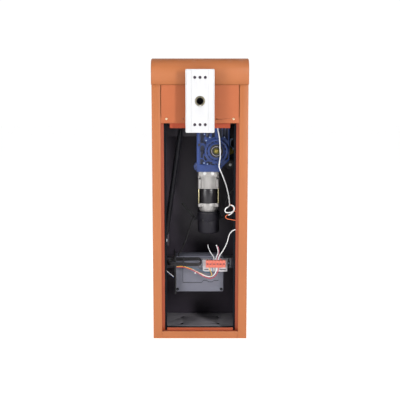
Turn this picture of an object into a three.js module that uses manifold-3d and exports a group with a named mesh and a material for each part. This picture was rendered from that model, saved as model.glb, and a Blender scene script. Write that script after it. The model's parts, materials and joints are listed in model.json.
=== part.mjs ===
// Parking barrier gate: a sheet-steel cabinet with its service door off, and the arm drive inside it.
// Millimetres. The front faces -Y, +X is to the right seen from the front, and +Z is up.
// The origin is on the ground, at the centre of the cabinet. The arm plate stands upright (gate open).
import * as THREE from "three";
import { mergeVertices } from "three/addons/utils/BufferGeometryUtils.js";
import Module from "manifold-3d";

// ---- Driving dimensions ----

const GAP = 0.4; // between pieces that touch

// Cabinet
const CABINET_WIDTH = 340;
const CABINET_DEPTH = 300;
const BODY_HEIGHT = 920;
const SHEET = 2;
const STILE_WIDTH = 31.3;
const REBATE_WIDTH = 10.1;
const REBATE_DEPTH = 18;
const RAIL_HEIGHT = 27;
const RAIL_FLANGE_HEIGHT = 9;
const RAIL_FLANGE_INSET = 7.6; // from the clear opening's side to the end of the rail's flange

// Hood
const HOOD_HEIGHT = 91.6;
const HOOD_SIDE = 1.6; // how far it overhangs each side
const HOOD_PROUD = 4; // how far it overhangs the front
const HOOD_BACK = 2;
const HOOD_RADIUS = 42;

// Upper front panel
const PANEL_HEIGHT = 134;
const PANEL_EAR_HEIGHT = 20;
const PANEL_SEAM = 2.2;
const PANEL_FLANGE_HEIGHT = 18;
const PANEL_FLANGE_INSET = 21.6; // from the clear opening's side
const PANEL_HOLE_ABOVE_EDGE = 15; // screws and small holes
const PANEL_SCREW_X = 118;
const PANEL_SCREW_HOLE = 5;
const PANEL_DRAIN_X = 59;
const PANEL_DRAIN_HOLE = 4;

// Inner chassis
const CHASSIS_SHEET = 2;
const CHASSIS_INSET = 18; // from the cabinet's side to the chassis side
const CHASSIS_FRONT_INSET = 22; // from the cabinet's front to the chassis front
const CHASSIS_BACK_INSET = 40;
const POST_WIDTH = 30.5; // the chassis side's front flange, across the gate
const POST_LIP = 16;
const CHASSIS_TOP_INSET = 5;
const BACK_FLANGE = 20;

// Base
const BASE_HEIGHT = 20;
const BASE_SHEET = 3;
const BASE_FRONT_INSET = 88; // from the cabinet's front
const BASE_BACK_INSET = 4;
const BASE_SIDE_INSET = 14;
const BASE_RIB_WIDTH = 30;
const BASE_RIB_INSET = 14; // from the base's side to the rib's open end
const SLOT_SPACING_X = 138;
const SLOT_SPACING_Y = 85;
const SLOT_CENTRE_Y = 9.5;
const SLOT_WIDTH = 9;
const SLOT_TRAVEL = 12; // between the centres of its round ends
const SLOT_ANGLE = 60; // degrees from the gate's width, mirrored left to right

// Cross shelf
const SHELF_TOP = 267;
const SHELF_HEIGHT = 41;
const SHELF_DEPTH = 40;
const SHELF_FRONT_Y = 8;
const SHELF_SHEET = 3;

// Boom shaft and arm plate
const BOOM_HEIGHT = 864;
const SHAFT_RADIUS = 17.5;
const SHAFT_BORE_RADIUS = 11;
const SHAFT_BORE_DEPTH = 70;
const PLATE_WIDTH = 100;
const PLATE_LENGTH = 217.4;
const PLATE_THICKNESS = 8;
const PLATE_STANDOFF = 50; // its front face, from the cabinet's front
const PLATE_BAND_HALF = 29;
const PLATE_BAND_STEP = 0.8;
const PLATE_CORNER = 4;
const HUB_RADIUS = 28;
const HUB_LENGTH = 34;
const ARM_HOLE_RADIUS = 5.2;
const ARM_HOLE_PITCH = 18;
const ARM_HOLE_ROW = 80.6;
const KEY_WIDTH = 9.4;
const KEY_INNER = 14; // from the shaft's axis
const KEY_OUTER = 20.6;
const KEY_LENGTH = 34;

// Shaft bearings
const RUNNING_GAP = 0.35; // between a shaft and what it turns in
const BEARING_FLANGE = 66;
const BEARING_FLANGE_THICKNESS = 10;
const BEARING_CORNER = 10;
const BEARING_BARREL_RADIUS = 29;
const BEARING_LENGTH = 20;
const BRIDGE_INSET = 42; // from the cabinet's front to the bridge's front face
const BRIDGE_THICKNESS = 4;
const BRIDGE_BOTTOM = 800;
const BRIDGE_END_FLANGE = 20;

// Gearbox
const OUTPUT_X = 60;
const OUTPUT_HEIGHT = 680;
const GEARBOX_LEFT = -12;
const GEARBOX_RIGHT = 108.4;
const GEARBOX_TOP = 775;
const GEARBOX_BOTTOM = 602.4;
const GEARBOX_DEPTH = 90;
const GEARBOX_WALL = 7;
const GEARBOX_COVER = 8;
const BOSS_RADIUS = 43.3;
const BOSS_HEIGHT = 8;
const SEAL_OUTER = 23.2;
const SEAL_INNER = 20;
const HOLLOW_SHAFT_RADIUS = 19.4;
const OUTPUT_SHAFT_RADIUS = 12.5;
const WORM_X = 11;
const WORM_RADIUS = 15;
const WORM_LENGTH = 62;
const WHEEL_THICKNESS = 18;
const WHEEL_TEETH = 30;
const TOOTH_DEPTH = 3;
const JOURNAL_RADIUS = 8;
const STAGE_GEAR_RADIUS = 13.6;
const STAGE_TEETH = 24;
const PINION_TEETH = 12;
const STAGE_FACE = 10; // face width of the first stage
const BEAM_BOTTOM = 728;
const BEAM_TOP = 788;
const BEAM_THICKNESS = 5;

// Motor
const MOTOR_X = 31.8;
const MOTOR_SQUARE = 79;
const MOTOR_CORNER = 10;
const MOTOR_FLANGE = 18;
const BARREL_RADIUS = 36;
const COLUMN_RADIUS = 6;
const COLUMN_X = 33.5;
const COLUMN_Y = 28;
const END_BELL_LENGTH = 64.4;
const STATOR_LENGTH = 55;
const STATOR_RADIUS = 36.6;
const ROTOR_RADIUS = 20;
const AIR_GAP = 1;
const REAR_BELL_LENGTH = 32;
const REAR_BELL_NECK = 33;
const BRAKE_RADIUS = 42;
const BRAKE_LENGTH = 34;
const COVER_RADIUS = 40.4;
const COVER_LENGTH = 47;
const MOTOR_SHAFT_RADIUS = 5;
const TIE_ROD_RADIUS = 1.9;
const MOTOR_WALL = 4;

// Crank, rod and lever: a parallelogram, so crank and boom turn alike
const PIN_X = 55; // both pins, from their shaft's axis, gate open
const PIN_DROP = 60;
const PIN_RADIUS = 6;
const EYE_RADIUS = 16;
const LINK_THICKNESS = 8;
const LINK_Y = 55; // front face of crank and lever
const ROD_THICKNESS = 10;
const ROD_WIDTH = 14;
const LINK_GAP = 3;
const CAM_RADIUS = 44;
const CAM_TIP_X = 71;
const CAM_TIP_DROP = 13;
const CAM_TIP_RADIUS = 2;
const CRANK_HALF_WIDTH = 12.5;
const STOP_TAIL = 62;
const STOP_TAIL_HALF = 12;
const STOP_RADIUS = 50; // buffers, from the boom's axis
const BUFFER_RADIUS = 10;
const LEVER_HUB_RADIUS = 26;
const GATE_TRAVEL = 90; // degrees

// Balance spring
const ARM_X = -66; // the spring's top pin, from the boom's axis, gate open
const ARM_DROP = 64;
const ARM_Y = 13; // front face of the spring arm
const ARM_EYE_RADIUS = 13;
const ANCHOR_X = -132;
const ANCHOR_HEIGHT = 338;
const SPRING_RADIUS = 10.5;
const SPRING_PIN_RADIUS = 5;
const SPRING_EYE_RADIUS = 10;
const SPRING_EYE_THICKNESS = 8;
const SPRING_HOOK_RADIUS = 3;
const COIL_START = 24; // along the spring, from the anchor
const COIL_TOP_GAP = 62; // from the top pin down to the coil's straight part
const COIL_TAPER = 20;

// Limit switch
const SWITCH_X = 130;
const SWITCH_BOTTOM = 722;
const SWITCH_HEIGHT = 34;
const SWITCH_WIDTH = 20;
const ROLLER_X = 127;
const ROLLER_HEIGHT = 680;
const ROLLER_RADIUS = 3;

// Electrical
const BOX_LEFT = -92;
const BOX_RIGHT = 87.5;
const BOX_BOTTOM = 153;
const BOX_TOP = 288.3;
const BOX_FRONT_Y = -60;
const BOX_LID = 12;
const BOX_WALL = 3;
const BOX_CORNER = 6;
const RAIL_LEFT = -3;
const RAIL_RIGHT = 115;
const RAIL_WIDTH = 35;
const RAIL_CENTRE_Z = 265;
const RAIL_RISE = 7.5;
const RAIL_SHEET = 1.2;
const CARRIER_LEFT = 10.4;
const CARRIER_RIGHT = 101.4;
const CARRIER_BOTTOM = 235;
const CARRIER_TOP = 278.6;
const CARRIER_DEPTH = 15;
const BLOCK_LEFT = 21.5;
const BLOCK_RIGHT = 94;
const BLOCK_BOTTOM = 253.4;
const BLOCK_TOP = 279.9;
const BLOCK_DEPTH = 14;
const BLOCK_WAYS = 6;

// Cords
const LEAD_DIAMETER = 4.6;
const SIDE_LEAD_DIAMETER = 3.6;
const WIRE_DIAMETER = 2.4;
const PAIR_DIAMETER = 5.6;
const BUNDLE_DIAMETER = 6.4;
const CABLE_DIAMETER = 7;
const HANK_THICKNESS = 14;

// ---- Places worked out from them ----

const SIDE = CABINET_WIDTH / 2;
const FRONT = -CABINET_DEPTH / 2;
const BACK = CABINET_DEPTH / 2;
const STILE_INNER = SIDE - STILE_WIDTH;
const OPENING = STILE_INNER - REBATE_WIDTH;
const REBATE_BACK = FRONT + REBATE_DEPTH;
const PANEL_BOTTOM = BODY_HEIGHT - PANEL_HEIGHT;
const CHASSIS_X = SIDE - CHASSIS_INSET;
const CHASSIS_FRONT = FRONT + CHASSIS_FRONT_INSET;
const CHASSIS_BACK = BACK - CHASSIS_BACK_INSET;
const CHASSIS_TOP = BODY_HEIGHT - CHASSIS_TOP_INSET;
const INNER_X = CHASSIS_X - CHASSIS_SHEET - GAP; // what spans between the chassis sides
const PANEL_Y = CHASSIS_BACK - 2 * CHASSIS_SHEET - GAP; // front face of the back panel
const PLATE_FRONT = FRONT - PLATE_STANDOFF;
const BRIDGE_Y = FRONT + BRIDGE_INSET;
const BRIDGE_BACK = BRIDGE_Y + BRIDGE_THICKNESS;
const GEARBOX_FRONT = -GEARBOX_DEPTH / 2;
const GEARBOX_BACK = GEARBOX_DEPTH / 2;
const ROD_Y = LINK_Y + LINK_THICKNESS + LINK_GAP;
const MOTOR_TOP = GEARBOX_BOTTOM - GAP;
const STATOR_TOP = MOTOR_TOP - END_BELL_LENGTH;
const REAR_TOP = STATOR_TOP - STATOR_LENGTH;
const BRAKE_TOP = REAR_TOP - REAR_BELL_LENGTH;
const COVER_TOP = BRAKE_TOP - BRAKE_LENGTH;
const SWITCH_Y = GEARBOX_BACK + BEAM_THICKNESS + 2 * GAP;
const BOX_BACK_Y = SHELF_FRONT_Y - GAP;
const RAIL_BACK_Y = BOX_FRONT_Y - GAP;
const CARRIER_BACK_Y = RAIL_BACK_Y - RAIL_RISE - GAP;
const CARRIER_FRONT_Y = CARRIER_BACK_Y - CARRIER_DEPTH;
const BLOCK_FRONT_Y = CARRIER_FRONT_Y - GAP - BLOCK_DEPTH;

// ---- Solids ----

const wasm = await Module();
wasm.setup();

// A closed three.js geometry as a solid that can be joined and cut.
function solid(geometry) {
  const bare = geometry.index ? geometry.toNonIndexed() : geometry.clone();
  bare.deleteAttribute("normal");
  bare.deleteAttribute("uv");
  const merged = mergeVertices(bare, 1e-4);
  return new wasm.Manifold(
    new wasm.Mesh({
      numProp: 3,
      vertProperties: merged.attributes.position.array,
      triVerts: new Uint32Array(merged.index.array),
    }),
  );
}

const join = (...parts) => parts.flat().reduce((a, b) => a.add(b));
const cut = (body, ...tools) => tools.flat().reduce((a, b) => a.subtract(b), body);
const sides = (make) => [-1, 1].map(make);

// A box between two corners, given in any order.
function block(x0, x1, y0, y1, z0, z1) {
  const box = new THREE.BoxGeometry(Math.abs(x1 - x0), Math.abs(y1 - y0), Math.abs(z1 - z0));
  return solid(box.translate((x0 + x1) / 2, (y0 + y1) / 2, (z0 + z1) / 2));
}

// An outline in X and Z, drawn from y0 back to y1.
function slab(outline, y0, y1, curveSegments = 6) {
  const options = { depth: y1 - y0, bevelEnabled: false, curveSegments };
  return solid(new THREE.ExtrudeGeometry(outline, options).rotateX(Math.PI / 2).translate(0, y1, 0));
}

// An outline in X and Y, raised from z0 to z1.
function raised(outline, z0, z1, curveSegments = 6) {
  const options = { depth: z1 - z0, bevelEnabled: false, curveSegments };
  return solid(new THREE.ExtrudeGeometry(outline, options).translate(0, 0, z0));
}

// An outline in Y and Z, drawn along X.
function along(outline, x0, x1, curveSegments = 6) {
  const options = { depth: x1 - x0, bevelEnabled: false, curveSegments };
  const turn = new THREE.Matrix4().makeBasis(
    new THREE.Vector3(0, 1, 0),
    new THREE.Vector3(0, 0, 1),
    new THREE.Vector3(1, 0, 0),
  );
  return solid(new THREE.ExtrudeGeometry(outline, options).applyMatrix4(turn).translate(x0, 0, 0));
}

// A turned body: [radius, distance along the axis] pairs, closed on the axis or on themselves.
function turned(axis, [x, y, z], profile, segments = 24) {
  const points = profile.map(([radius, distance]) => new THREE.Vector2(radius, distance));
  const shape = new THREE.LatheGeometry(points, segments);
  if (axis === "z") shape.rotateX(Math.PI / 2);
  if (axis === "x") shape.rotateZ(-Math.PI / 2);
  return solid(shape.translate(x, y, z));
}

function rod(axis, centre, radius, from, to, segments = 24) {
  const profile = [[0, from], [radius, from], [radius, to], [0, to]];
  return turned(axis, centre, profile, segments);
}

function ring(axis, centre, inner, outer, from, to, segments = 24) {
  const profile = [[inner, from], [outer, from], [outer, to], [inner, to], [inner, from]];
  return turned(axis, centre, profile, segments);
}

function polygon(points) {
  return new THREE.Shape(points.map(([a, b]) => new THREE.Vector2(a, b)));
}

function roundedRectangle(a0, a1, b0, b1, radius) {
  const shape = new THREE.Shape();
  shape.moveTo(a0 + radius, b0);
  shape.lineTo(a1 - radius, b0);
  shape.absarc(a1 - radius, b0 + radius, radius, -Math.PI / 2, 0);
  shape.lineTo(a1, b1 - radius);
  shape.absarc(a1 - radius, b1 - radius, radius, 0, Math.PI / 2);
  shape.lineTo(a0 + radius, b1);
  shape.absarc(a0 + radius, b1 - radius, radius, Math.PI / 2, Math.PI);
  shape.lineTo(a0, b0 + radius);
  shape.absarc(a0 + radius, b0 + radius, radius, Math.PI, 1.5 * Math.PI);
  return shape;
}

// The outline round two circles and the straight tangents between them.
function strap([ax, az, ar], [bx, bz, br]) {
  const heading = Math.atan2(bz - az, bx - ax);
  const lean = Math.acos((ar - br) / Math.hypot(bx - ax, bz - az));
  const shape = new THREE.Shape();
  shape.absarc(bx, bz, br, heading - lean, heading + lean);
  shape.absarc(ax, az, ar, heading + lean, heading - lean + 2 * Math.PI);
  return shape;
}

// A toothed disc outline about a centre.
function toothed(a, b, radius, depth, teeth) {
  const points = [];
  for (let i = 0; i < 4 * teeth; i += 1) {
    const angle = (i / (4 * teeth)) * 2 * Math.PI;
    const r = i % 4 < 2 ? radius : radius - depth;
    points.push([a + r * Math.cos(angle), b + r * Math.sin(angle)]);
  }
  return polygon(points);
}

// A cord or bent rod of round section along points.
function tube(points, diameter, steps, tubeSides = 8) {
  const path = new THREE.CatmullRomCurve3(points.map((p) => new THREE.Vector3(...p)));
  const section = [];
  for (let i = 0; i < tubeSides; i += 1) {
    const angle = (i / tubeSides) * 2 * Math.PI;
    section.push([(diameter / 2) * Math.cos(angle), (diameter / 2) * Math.sin(angle)]);
  }
  return solid(
    new THREE.ExtrudeGeometry(polygon(section), { steps, extrudePath: path, bevelEnabled: false }),
  );
}

function piece(name, made, [color, roughness, metalness]) {
  const { vertProperties, triVerts } = made.getMesh();
  const geometry = new THREE.BufferGeometry();
  geometry.setAttribute("position", new THREE.BufferAttribute(vertProperties, 3));
  geometry.setIndex(new THREE.BufferAttribute(triVerts, 1));
  geometry.computeVertexNormals();
  const mesh = new THREE.Mesh(geometry, new THREE.MeshStandardMaterial({ color, roughness, metalness }));
  mesh.name = name;
  return mesh;
}

function group(...parts) {
  const made = new THREE.Group();
  made.add(...parts.flat());
  return made;
}

// ---- Finishes: colour, roughness, metalness ----

const ORANGE = [0xcd8157, 0.5, 0.1];
const CHASSIS_BLACK = [0x2b282e, 0.6, 0.2];
const BASE_GREY = [0x5c5c63, 0.6, 0.3];
const SHELF_GREY = [0x6a6a70, 0.55, 0.4];
const WHITE = [0xf7f7f7, 0.45, 0.05];
const STEEL = [0xa8a49a, 0.35, 0.9];
const YELLOW_ZINC = [0xb39a3f, 0.4, 0.8];
const GEARBOX_BLUE = [0x3a4f96, 0.45, 0.2];
const SILVER = [0xbebab5, 0.4, 0.7];
const BLACK_PLASTIC = [0x2a292d, 0.55, 0];
const RUBBER = [0x1f1e20, 0.85, 0];
const BRONZE = [0xa9803f, 0.4, 0.8];
const BOX_GREY = [0x767884, 0.5, 0.1];
const CORAL = [0xeb6e55, 0.45, 0];
const BOARD_GREEN = [0x2e6b45, 0.5, 0];
const CORD_WHITE = [0xe6e4e2, 0.5, 0];
const CORD_ORANGE = [0xd8623c, 0.5, 0];

// ---- Cabinet ----

// Back, two sides and the two front stiles, each stile folded back and in again as a rebate.
function cabinetShell() {
  const walls = sides((s) => [
    block(s * SIDE, s * (SIDE - SHEET), FRONT, BACK, 0, BODY_HEIGHT),
    block(s * SIDE, s * STILE_INNER, FRONT, FRONT + SHEET, 0, BODY_HEIGHT),
    block(s * STILE_INNER, s * (STILE_INNER + SHEET), FRONT, REBATE_BACK, 0, BODY_HEIGHT),
    block(s * OPENING, s * (STILE_INNER + SHEET), REBATE_BACK - SHEET, REBATE_BACK, 0, BODY_HEIGHT),
  ]).flat();
  return join(walls, block(-SIDE, SIDE, BACK - SHEET, BACK, 0, BODY_HEIGHT));
}

// A folded member's return, notched at both ends to clear the stiles' rebates.
function foldedReturn(z0, z1, flangeHalf) {
  const ends = STILE_INNER - GAP;
  return join(
    block(-ends, ends, FRONT, REBATE_BACK - SHEET - GAP, z0, z1),
    block(-flangeHalf, flangeHalf, FRONT, REBATE_BACK, z0, z1),
  );
}

function bottomRail() {
  const ends = STILE_INNER - GAP;
  const flange = OPENING - RAIL_FLANGE_INSET;
  const fold = RAIL_HEIGHT - SHEET;
  return join(
    block(-ends, ends, FRONT, FRONT + SHEET, 0, RAIL_HEIGHT),
    foldedReturn(fold, RAIL_HEIGHT, flange),
    block(-flange, flange, REBATE_BACK - SHEET, REBATE_BACK, fold, RAIL_HEIGHT + RAIL_FLANGE_HEIGHT),
  );
}

// The fixed panel that the boom shaft comes through, with ears at its foot and a recessed flange below.
function frontPanel() {
  const face = STILE_INNER - PANEL_SEAM;
  const ears = STILE_INNER - GAP;
  const flange = OPENING - PANEL_FLANGE_INSET;
  const flangeFoot = PANEL_BOTTOM - PANEL_FLANGE_HEIGHT;
  const holeZ = PANEL_BOTTOM + PANEL_HOLE_ABOVE_EDGE;
  const sheet = [FRONT - SHEET, FRONT + 2 * SHEET];
  const made = join(
    block(-face, face, FRONT, FRONT + SHEET, PANEL_BOTTOM, BODY_HEIGHT - GAP),
    block(-ears, ears, FRONT, FRONT + SHEET, PANEL_BOTTOM, PANEL_BOTTOM + PANEL_EAR_HEIGHT),
    foldedReturn(PANEL_BOTTOM, PANEL_BOTTOM + SHEET, OPENING - GAP),
    block(-flange, flange, REBATE_BACK - SHEET, REBATE_BACK, flangeFoot, PANEL_BOTTOM + SHEET),
  );
  return cut(
    made,
    rod("y", [0, 0, BOOM_HEIGHT], SHAFT_RADIUS + 2 * LINK_GAP, ...sheet, 24),
    sides((s) => rod("y", [s * PANEL_SCREW_X, 0, holeZ], PANEL_SCREW_HOLE / 2, ...sheet, 12)),
    sides((s) => rod("y", [s * PANEL_DRAIN_X, 0, holeZ], PANEL_DRAIN_HOLE / 2, ...sheet, 12)),
  );
}

// The hood's outline from the side, drawn in by an inset.
function hoodOutline(inset) {
  const front = FRONT - HOOD_PROUD + inset;
  const back = BACK + HOOD_BACK - inset;
  const bottom = inset ? BODY_HEIGHT - HOOD_HEIGHT : BODY_HEIGHT + GAP;
  const top = BODY_HEIGHT + HOOD_HEIGHT - inset;
  const radius = HOOD_RADIUS - inset;
  const shape = new THREE.Shape();
  shape.moveTo(front, bottom);
  shape.lineTo(back, bottom);
  shape.lineTo(back, top - radius);
  shape.absarc(back - radius, top - radius, radius, 0, Math.PI / 2);
  shape.lineTo(front + radius, top);
  shape.absarc(front + radius, top - radius, radius, Math.PI / 2, Math.PI);
  return shape;
}

function hood() {
  const half = SIDE + HOOD_SIDE;
  return cut(
    along(hoodOutline(0), -half, half, 7),
    along(hoodOutline(SHEET), -half + SHEET, half - SHEET, 7),
  );
}

// ---- Inner chassis ----

function chassisSide(s) {
  const bottom = BASE_HEIGHT + GAP;
  const outer = s * CHASSIS_X;
  const post = s * (CHASSIS_X - POST_WIDTH);
  return join(
    block(outer, outer - s * CHASSIS_SHEET, CHASSIS_FRONT, CHASSIS_BACK, bottom, CHASSIS_TOP),
    block(outer, post, CHASSIS_FRONT, CHASSIS_FRONT + CHASSIS_SHEET, bottom, CHASSIS_TOP),
    block(post, post + s * CHASSIS_SHEET, CHASSIS_FRONT, CHASSIS_FRONT + POST_LIP, bottom, CHASSIS_TOP),
    block(outer, outer - s * BACK_FLANGE, CHASSIS_BACK - CHASSIS_SHEET, CHASSIS_BACK, bottom, CHASSIS_TOP),
  );
}

function backPanel() {
  return block(-INNER_X, INNER_X, PANEL_Y, PANEL_Y + CHASSIS_SHEET, BASE_HEIGHT + GAP, CHASSIS_TOP);
}

// An upside-down tray on the ground, with a hat-section rib across its middle and four anchor slots.
function basePlate() {
  const half = SIDE - BASE_SIDE_INSET;
  const front = FRONT + BASE_FRONT_INSET;
  const back = BACK - BASE_BACK_INSET;
  const rib = BASE_RIB_WIDTH / 2;
  const ribEnd = half - BASE_RIB_INSET;
  const tray = cut(
    block(-half, half, front, back, 0, BASE_HEIGHT),
    block(
      -half + BASE_SHEET,
      half - BASE_SHEET,
      front + BASE_SHEET,
      back - BASE_SHEET,
      -BASE_SHEET,
      BASE_HEIGHT - BASE_SHEET,
    ),
  );
  const hat = cut(
    block(-ribEnd, ribEnd, -rib, rib, 0, BASE_HEIGHT - BASE_SHEET / 2),
    block(-half, half, -rib + BASE_SHEET, rib - BASE_SHEET, BASE_SHEET, BASE_HEIGHT - BASE_SHEET),
  );
  const lean = THREE.MathUtils.degToRad(SLOT_ANGLE);
  const slots = sides((sx) =>
    sides((sy) => {
      const x = (sx * SLOT_SPACING_X) / 2;
      const y = SLOT_CENTRE_Y + (sy * SLOT_SPACING_Y) / 2;
      const dx = (-sx * SLOT_TRAVEL * Math.cos(lean)) / 2;
      const dy = (SLOT_TRAVEL * Math.sin(lean)) / 2;
      const outline = strap([x - dx, y - dy, SLOT_WIDTH / 2], [x + dx, y + dy, SLOT_WIDTH / 2]);
      return raised(outline, BASE_HEIGHT - 2 * BASE_SHEET, BASE_HEIGHT + BASE_SHEET, 8);
    }),
  ).flat();
  return cut(join(tray, hat), slots);
}

function crossShelf() {
  const back = SHELF_FRONT_Y + SHELF_DEPTH;
  return join(
    block(-INNER_X, INNER_X, SHELF_FRONT_Y, SHELF_FRONT_Y + SHELF_SHEET, SHELF_TOP - SHELF_HEIGHT, SHELF_TOP),
    block(-INNER_X, INNER_X, SHELF_FRONT_Y, back, SHELF_TOP - SHELF_SHEET, SHELF_TOP),
  );
}

function frontBridge() {
  const back = BRIDGE_BACK;
  const plate = block(-INNER_X, INNER_X, BRIDGE_Y, back, BRIDGE_BOTTOM, CHASSIS_TOP);
  const ends = sides((s) =>
    block(
      s * INNER_X,
      s * (INNER_X - BRIDGE_THICKNESS),
      BRIDGE_Y,
      back + BRIDGE_END_FLANGE,
      BRIDGE_BOTTOM,
      CHASSIS_TOP,
    ),
  );
  const hole = rod("y", [0, 0, BOOM_HEIGHT], SHAFT_RADIUS + LINK_GAP, BRIDGE_Y - SHEET, back + SHEET);
  return cut(join(plate, ends), hole);
}

function gearboxBeam() {
  const front = GEARBOX_BACK + GAP;
  return block(-INNER_X, INNER_X, front, front + BEAM_THICKNESS, BEAM_BOTTOM, BEAM_TOP);
}

// A flange bearing for the boom shaft. Its flange is at y0 and its barrel points towards y1.
function shaftBearing(y0, y1) {
  const half = BEARING_FLANGE / 2;
  const towards = Math.sign(y1 - y0);
  const flangeEnd = y0 + towards * BEARING_FLANGE_THICKNESS;
  const outline = roundedRectangle(-half, half, BOOM_HEIGHT - half, BOOM_HEIGHT + half, BEARING_CORNER);
  const axis = [0, 0, BOOM_HEIGHT];
  const from = Math.min(y0, y1);
  const to = Math.max(y0, y1);
  return cut(
    join(
      slab(outline, Math.min(y0, flangeEnd), Math.max(y0, flangeEnd)),
      rod("y", axis, BEARING_BARREL_RADIUS, from, to, 24),
    ),
    rod("y", axis, SHAFT_RADIUS + RUNNING_GAP, from - SHEET, to + SHEET, 24),
  );
}

// A rubber buffer on the back panel, beside the lever's stop tail at one end of its travel.
function buffer(atEndOfTravel) {
  const tail = Math.atan2(PIN_DROP, -PIN_X);
  const clear = Math.asin((STOP_TAIL_HALF + BUFFER_RADIUS + GAP) / STOP_RADIUS);
  const travel = THREE.MathUtils.degToRad(GATE_TRAVEL);
  const angle = atEndOfTravel ? tail - travel - clear : tail + clear;
  const centre = [STOP_RADIUS * Math.cos(angle), 0, BOOM_HEIGHT + STOP_RADIUS * Math.sin(angle)];
  return rod("y", centre, BUFFER_RADIUS, LINK_Y - GAP, PANEL_Y - GAP);
}

// ---- Gearbox ----

// The housing's outline, with its lower right corner cut off, drawn in by a wall.
function gearboxOutline(wall) {
  const foot = MOTOR_X + MOTOR_SQUARE / 2 + 1;
  return polygon([
    [GEARBOX_LEFT + wall, GEARBOX_BOTTOM + wall],
    [foot - wall, GEARBOX_BOTTOM + wall],
    [foot + 10 - wall, GEARBOX_BOTTOM + 18 + wall / 2],
    [GEARBOX_RIGHT - wall, GEARBOX_BOTTOM + 44 + wall / 2],
    [GEARBOX_RIGHT - wall, GEARBOX_TOP - wall],
    [GEARBOX_LEFT + wall, GEARBOX_TOP - wall],
  ]);
}

function gearboxHousing() {
  const back = GEARBOX_BACK - GEARBOX_COVER - GAP;
  const flange = MOTOR_SQUARE / 2 + 1;
  const axis = [OUTPUT_X, 0, OUTPUT_HEIGHT];
  const face = GEARBOX_FRONT;
  const body = join(
    slab(gearboxOutline(0), face, back),
    raised(
      roundedRectangle(MOTOR_X - flange, MOTOR_X + flange, -flange, back, MOTOR_CORNER / 2),
      GEARBOX_BOTTOM,
      GEARBOX_BOTTOM + 24,
    ),
    ring("y", axis, BOSS_RADIUS - 5, BOSS_RADIUS, face - BOSS_HEIGHT, face + GAP, 28),
    ring("y", axis, SEAL_OUTER - 1, SEAL_OUTER + 7, face - BOSS_HEIGHT, face + GAP, 28),
    ring("y", axis, SEAL_OUTER - 1, BOSS_RADIUS, face - BOSS_HEIGHT / 2, face + GAP, 28),
    rod("y", [GEARBOX_LEFT + 6, 0, GEARBOX_BOTTOM + 18.5], 18, -33, 3, 8),
    block(GEARBOX_LEFT, GEARBOX_LEFT + 9, face - 4, face + 1, GEARBOX_BOTTOM + 30, GEARBOX_TOP),
  );
  const cavity = slab(gearboxOutline(GEARBOX_WALL), face + GEARBOX_WALL + 1, back + SHEET);
  const pockets = [
    [2, 14, 668, 700],
    [2, 14, 708, 728],
    [22, 34, 730, 760],
    [44, 54, 740, 768],
    [76, 83, 728, 756],
    [90, 97, 728, 756],
    [98, 103, 655, 700],
    [24, 46, 630, 640],
  ].map(([x0, x1, z0, z1]) => block(x0, x1, face - 1, face + 4, z0, z1));
  return cut(
    body,
    cavity,
    pockets,
    rod("y", axis, SEAL_OUTER + GAP, face - 2 * BOSS_HEIGHT, face + 2 * GEARBOX_WALL, 28),
    rod("y", [-2.9, 0, 702.8], 3.4, face - 5, face + 5, 16),
    rod("y", [OUTPUT_X, 0, 631.3], 2.6, face - 5, face + 5, 12),
    rod("z", [MOTOR_X, 0, GEARBOX_BOTTOM], PIN_RADIUS + LINK_GAP, -SHEET, 2 * GEARBOX_WALL),
  );
}

function gearboxCover() {
  const front = GEARBOX_BACK - GEARBOX_COVER;
  const axis = [OUTPUT_X, 0, OUTPUT_HEIGHT];
  return cut(
    slab(gearboxOutline(0), front, GEARBOX_BACK),
    rod("y", axis, HOLLOW_SHAFT_RADIUS + RUNNING_GAP, front - 1, GEARBOX_BACK + 1, 24),
  );
}

function outputSeal() {
  const front = GEARBOX_FRONT - BOSS_HEIGHT + 1;
  return ring("y", [OUTPUT_X, 0, OUTPUT_HEIGHT], SEAL_INNER, SEAL_OUTER, front, front + 8, 28);
}

// The bronze wheel on its hollow shaft, which carries the output shaft.
function wormWheel() {
  const tip = OUTPUT_X - WORM_X - WORM_RADIUS - GAP;
  const axis = [OUTPUT_X, 0, OUTPUT_HEIGHT];
  const outline = toothed(OUTPUT_X, OUTPUT_HEIGHT, tip, TOOTH_DEPTH, WHEEL_TEETH);
  const disc = slab(outline, -WHEEL_THICKNESS / 2, WHEEL_THICKNESS / 2);
  const hollow = rod("y", axis, HOLLOW_SHAFT_RADIUS, GEARBOX_FRONT - BOSS_HEIGHT - 2, GEARBOX_BACK - 1, 24);
  const bore = rod("y", axis, OUTPUT_SHAFT_RADIUS + RUNNING_GAP, GEARBOX_FRONT - 30, GEARBOX_BACK + 5, 24);
  return cut(join(disc, hollow), bore);
}

function outputShaft() {
  const front = GEARBOX_FRONT - BOSS_HEIGHT + 1;
  const end = LINK_Y - GAP;
  const profile = [
    [0, front],
    [OUTPUT_SHAFT_RADIUS - 3, front],
    [OUTPUT_SHAFT_RADIUS, front + 3],
    [OUTPUT_SHAFT_RADIUS, end],
    [0, end],
  ];
  return turned("y", [OUTPUT_X, 0, OUTPUT_HEIGHT], profile, 24);
}

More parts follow.
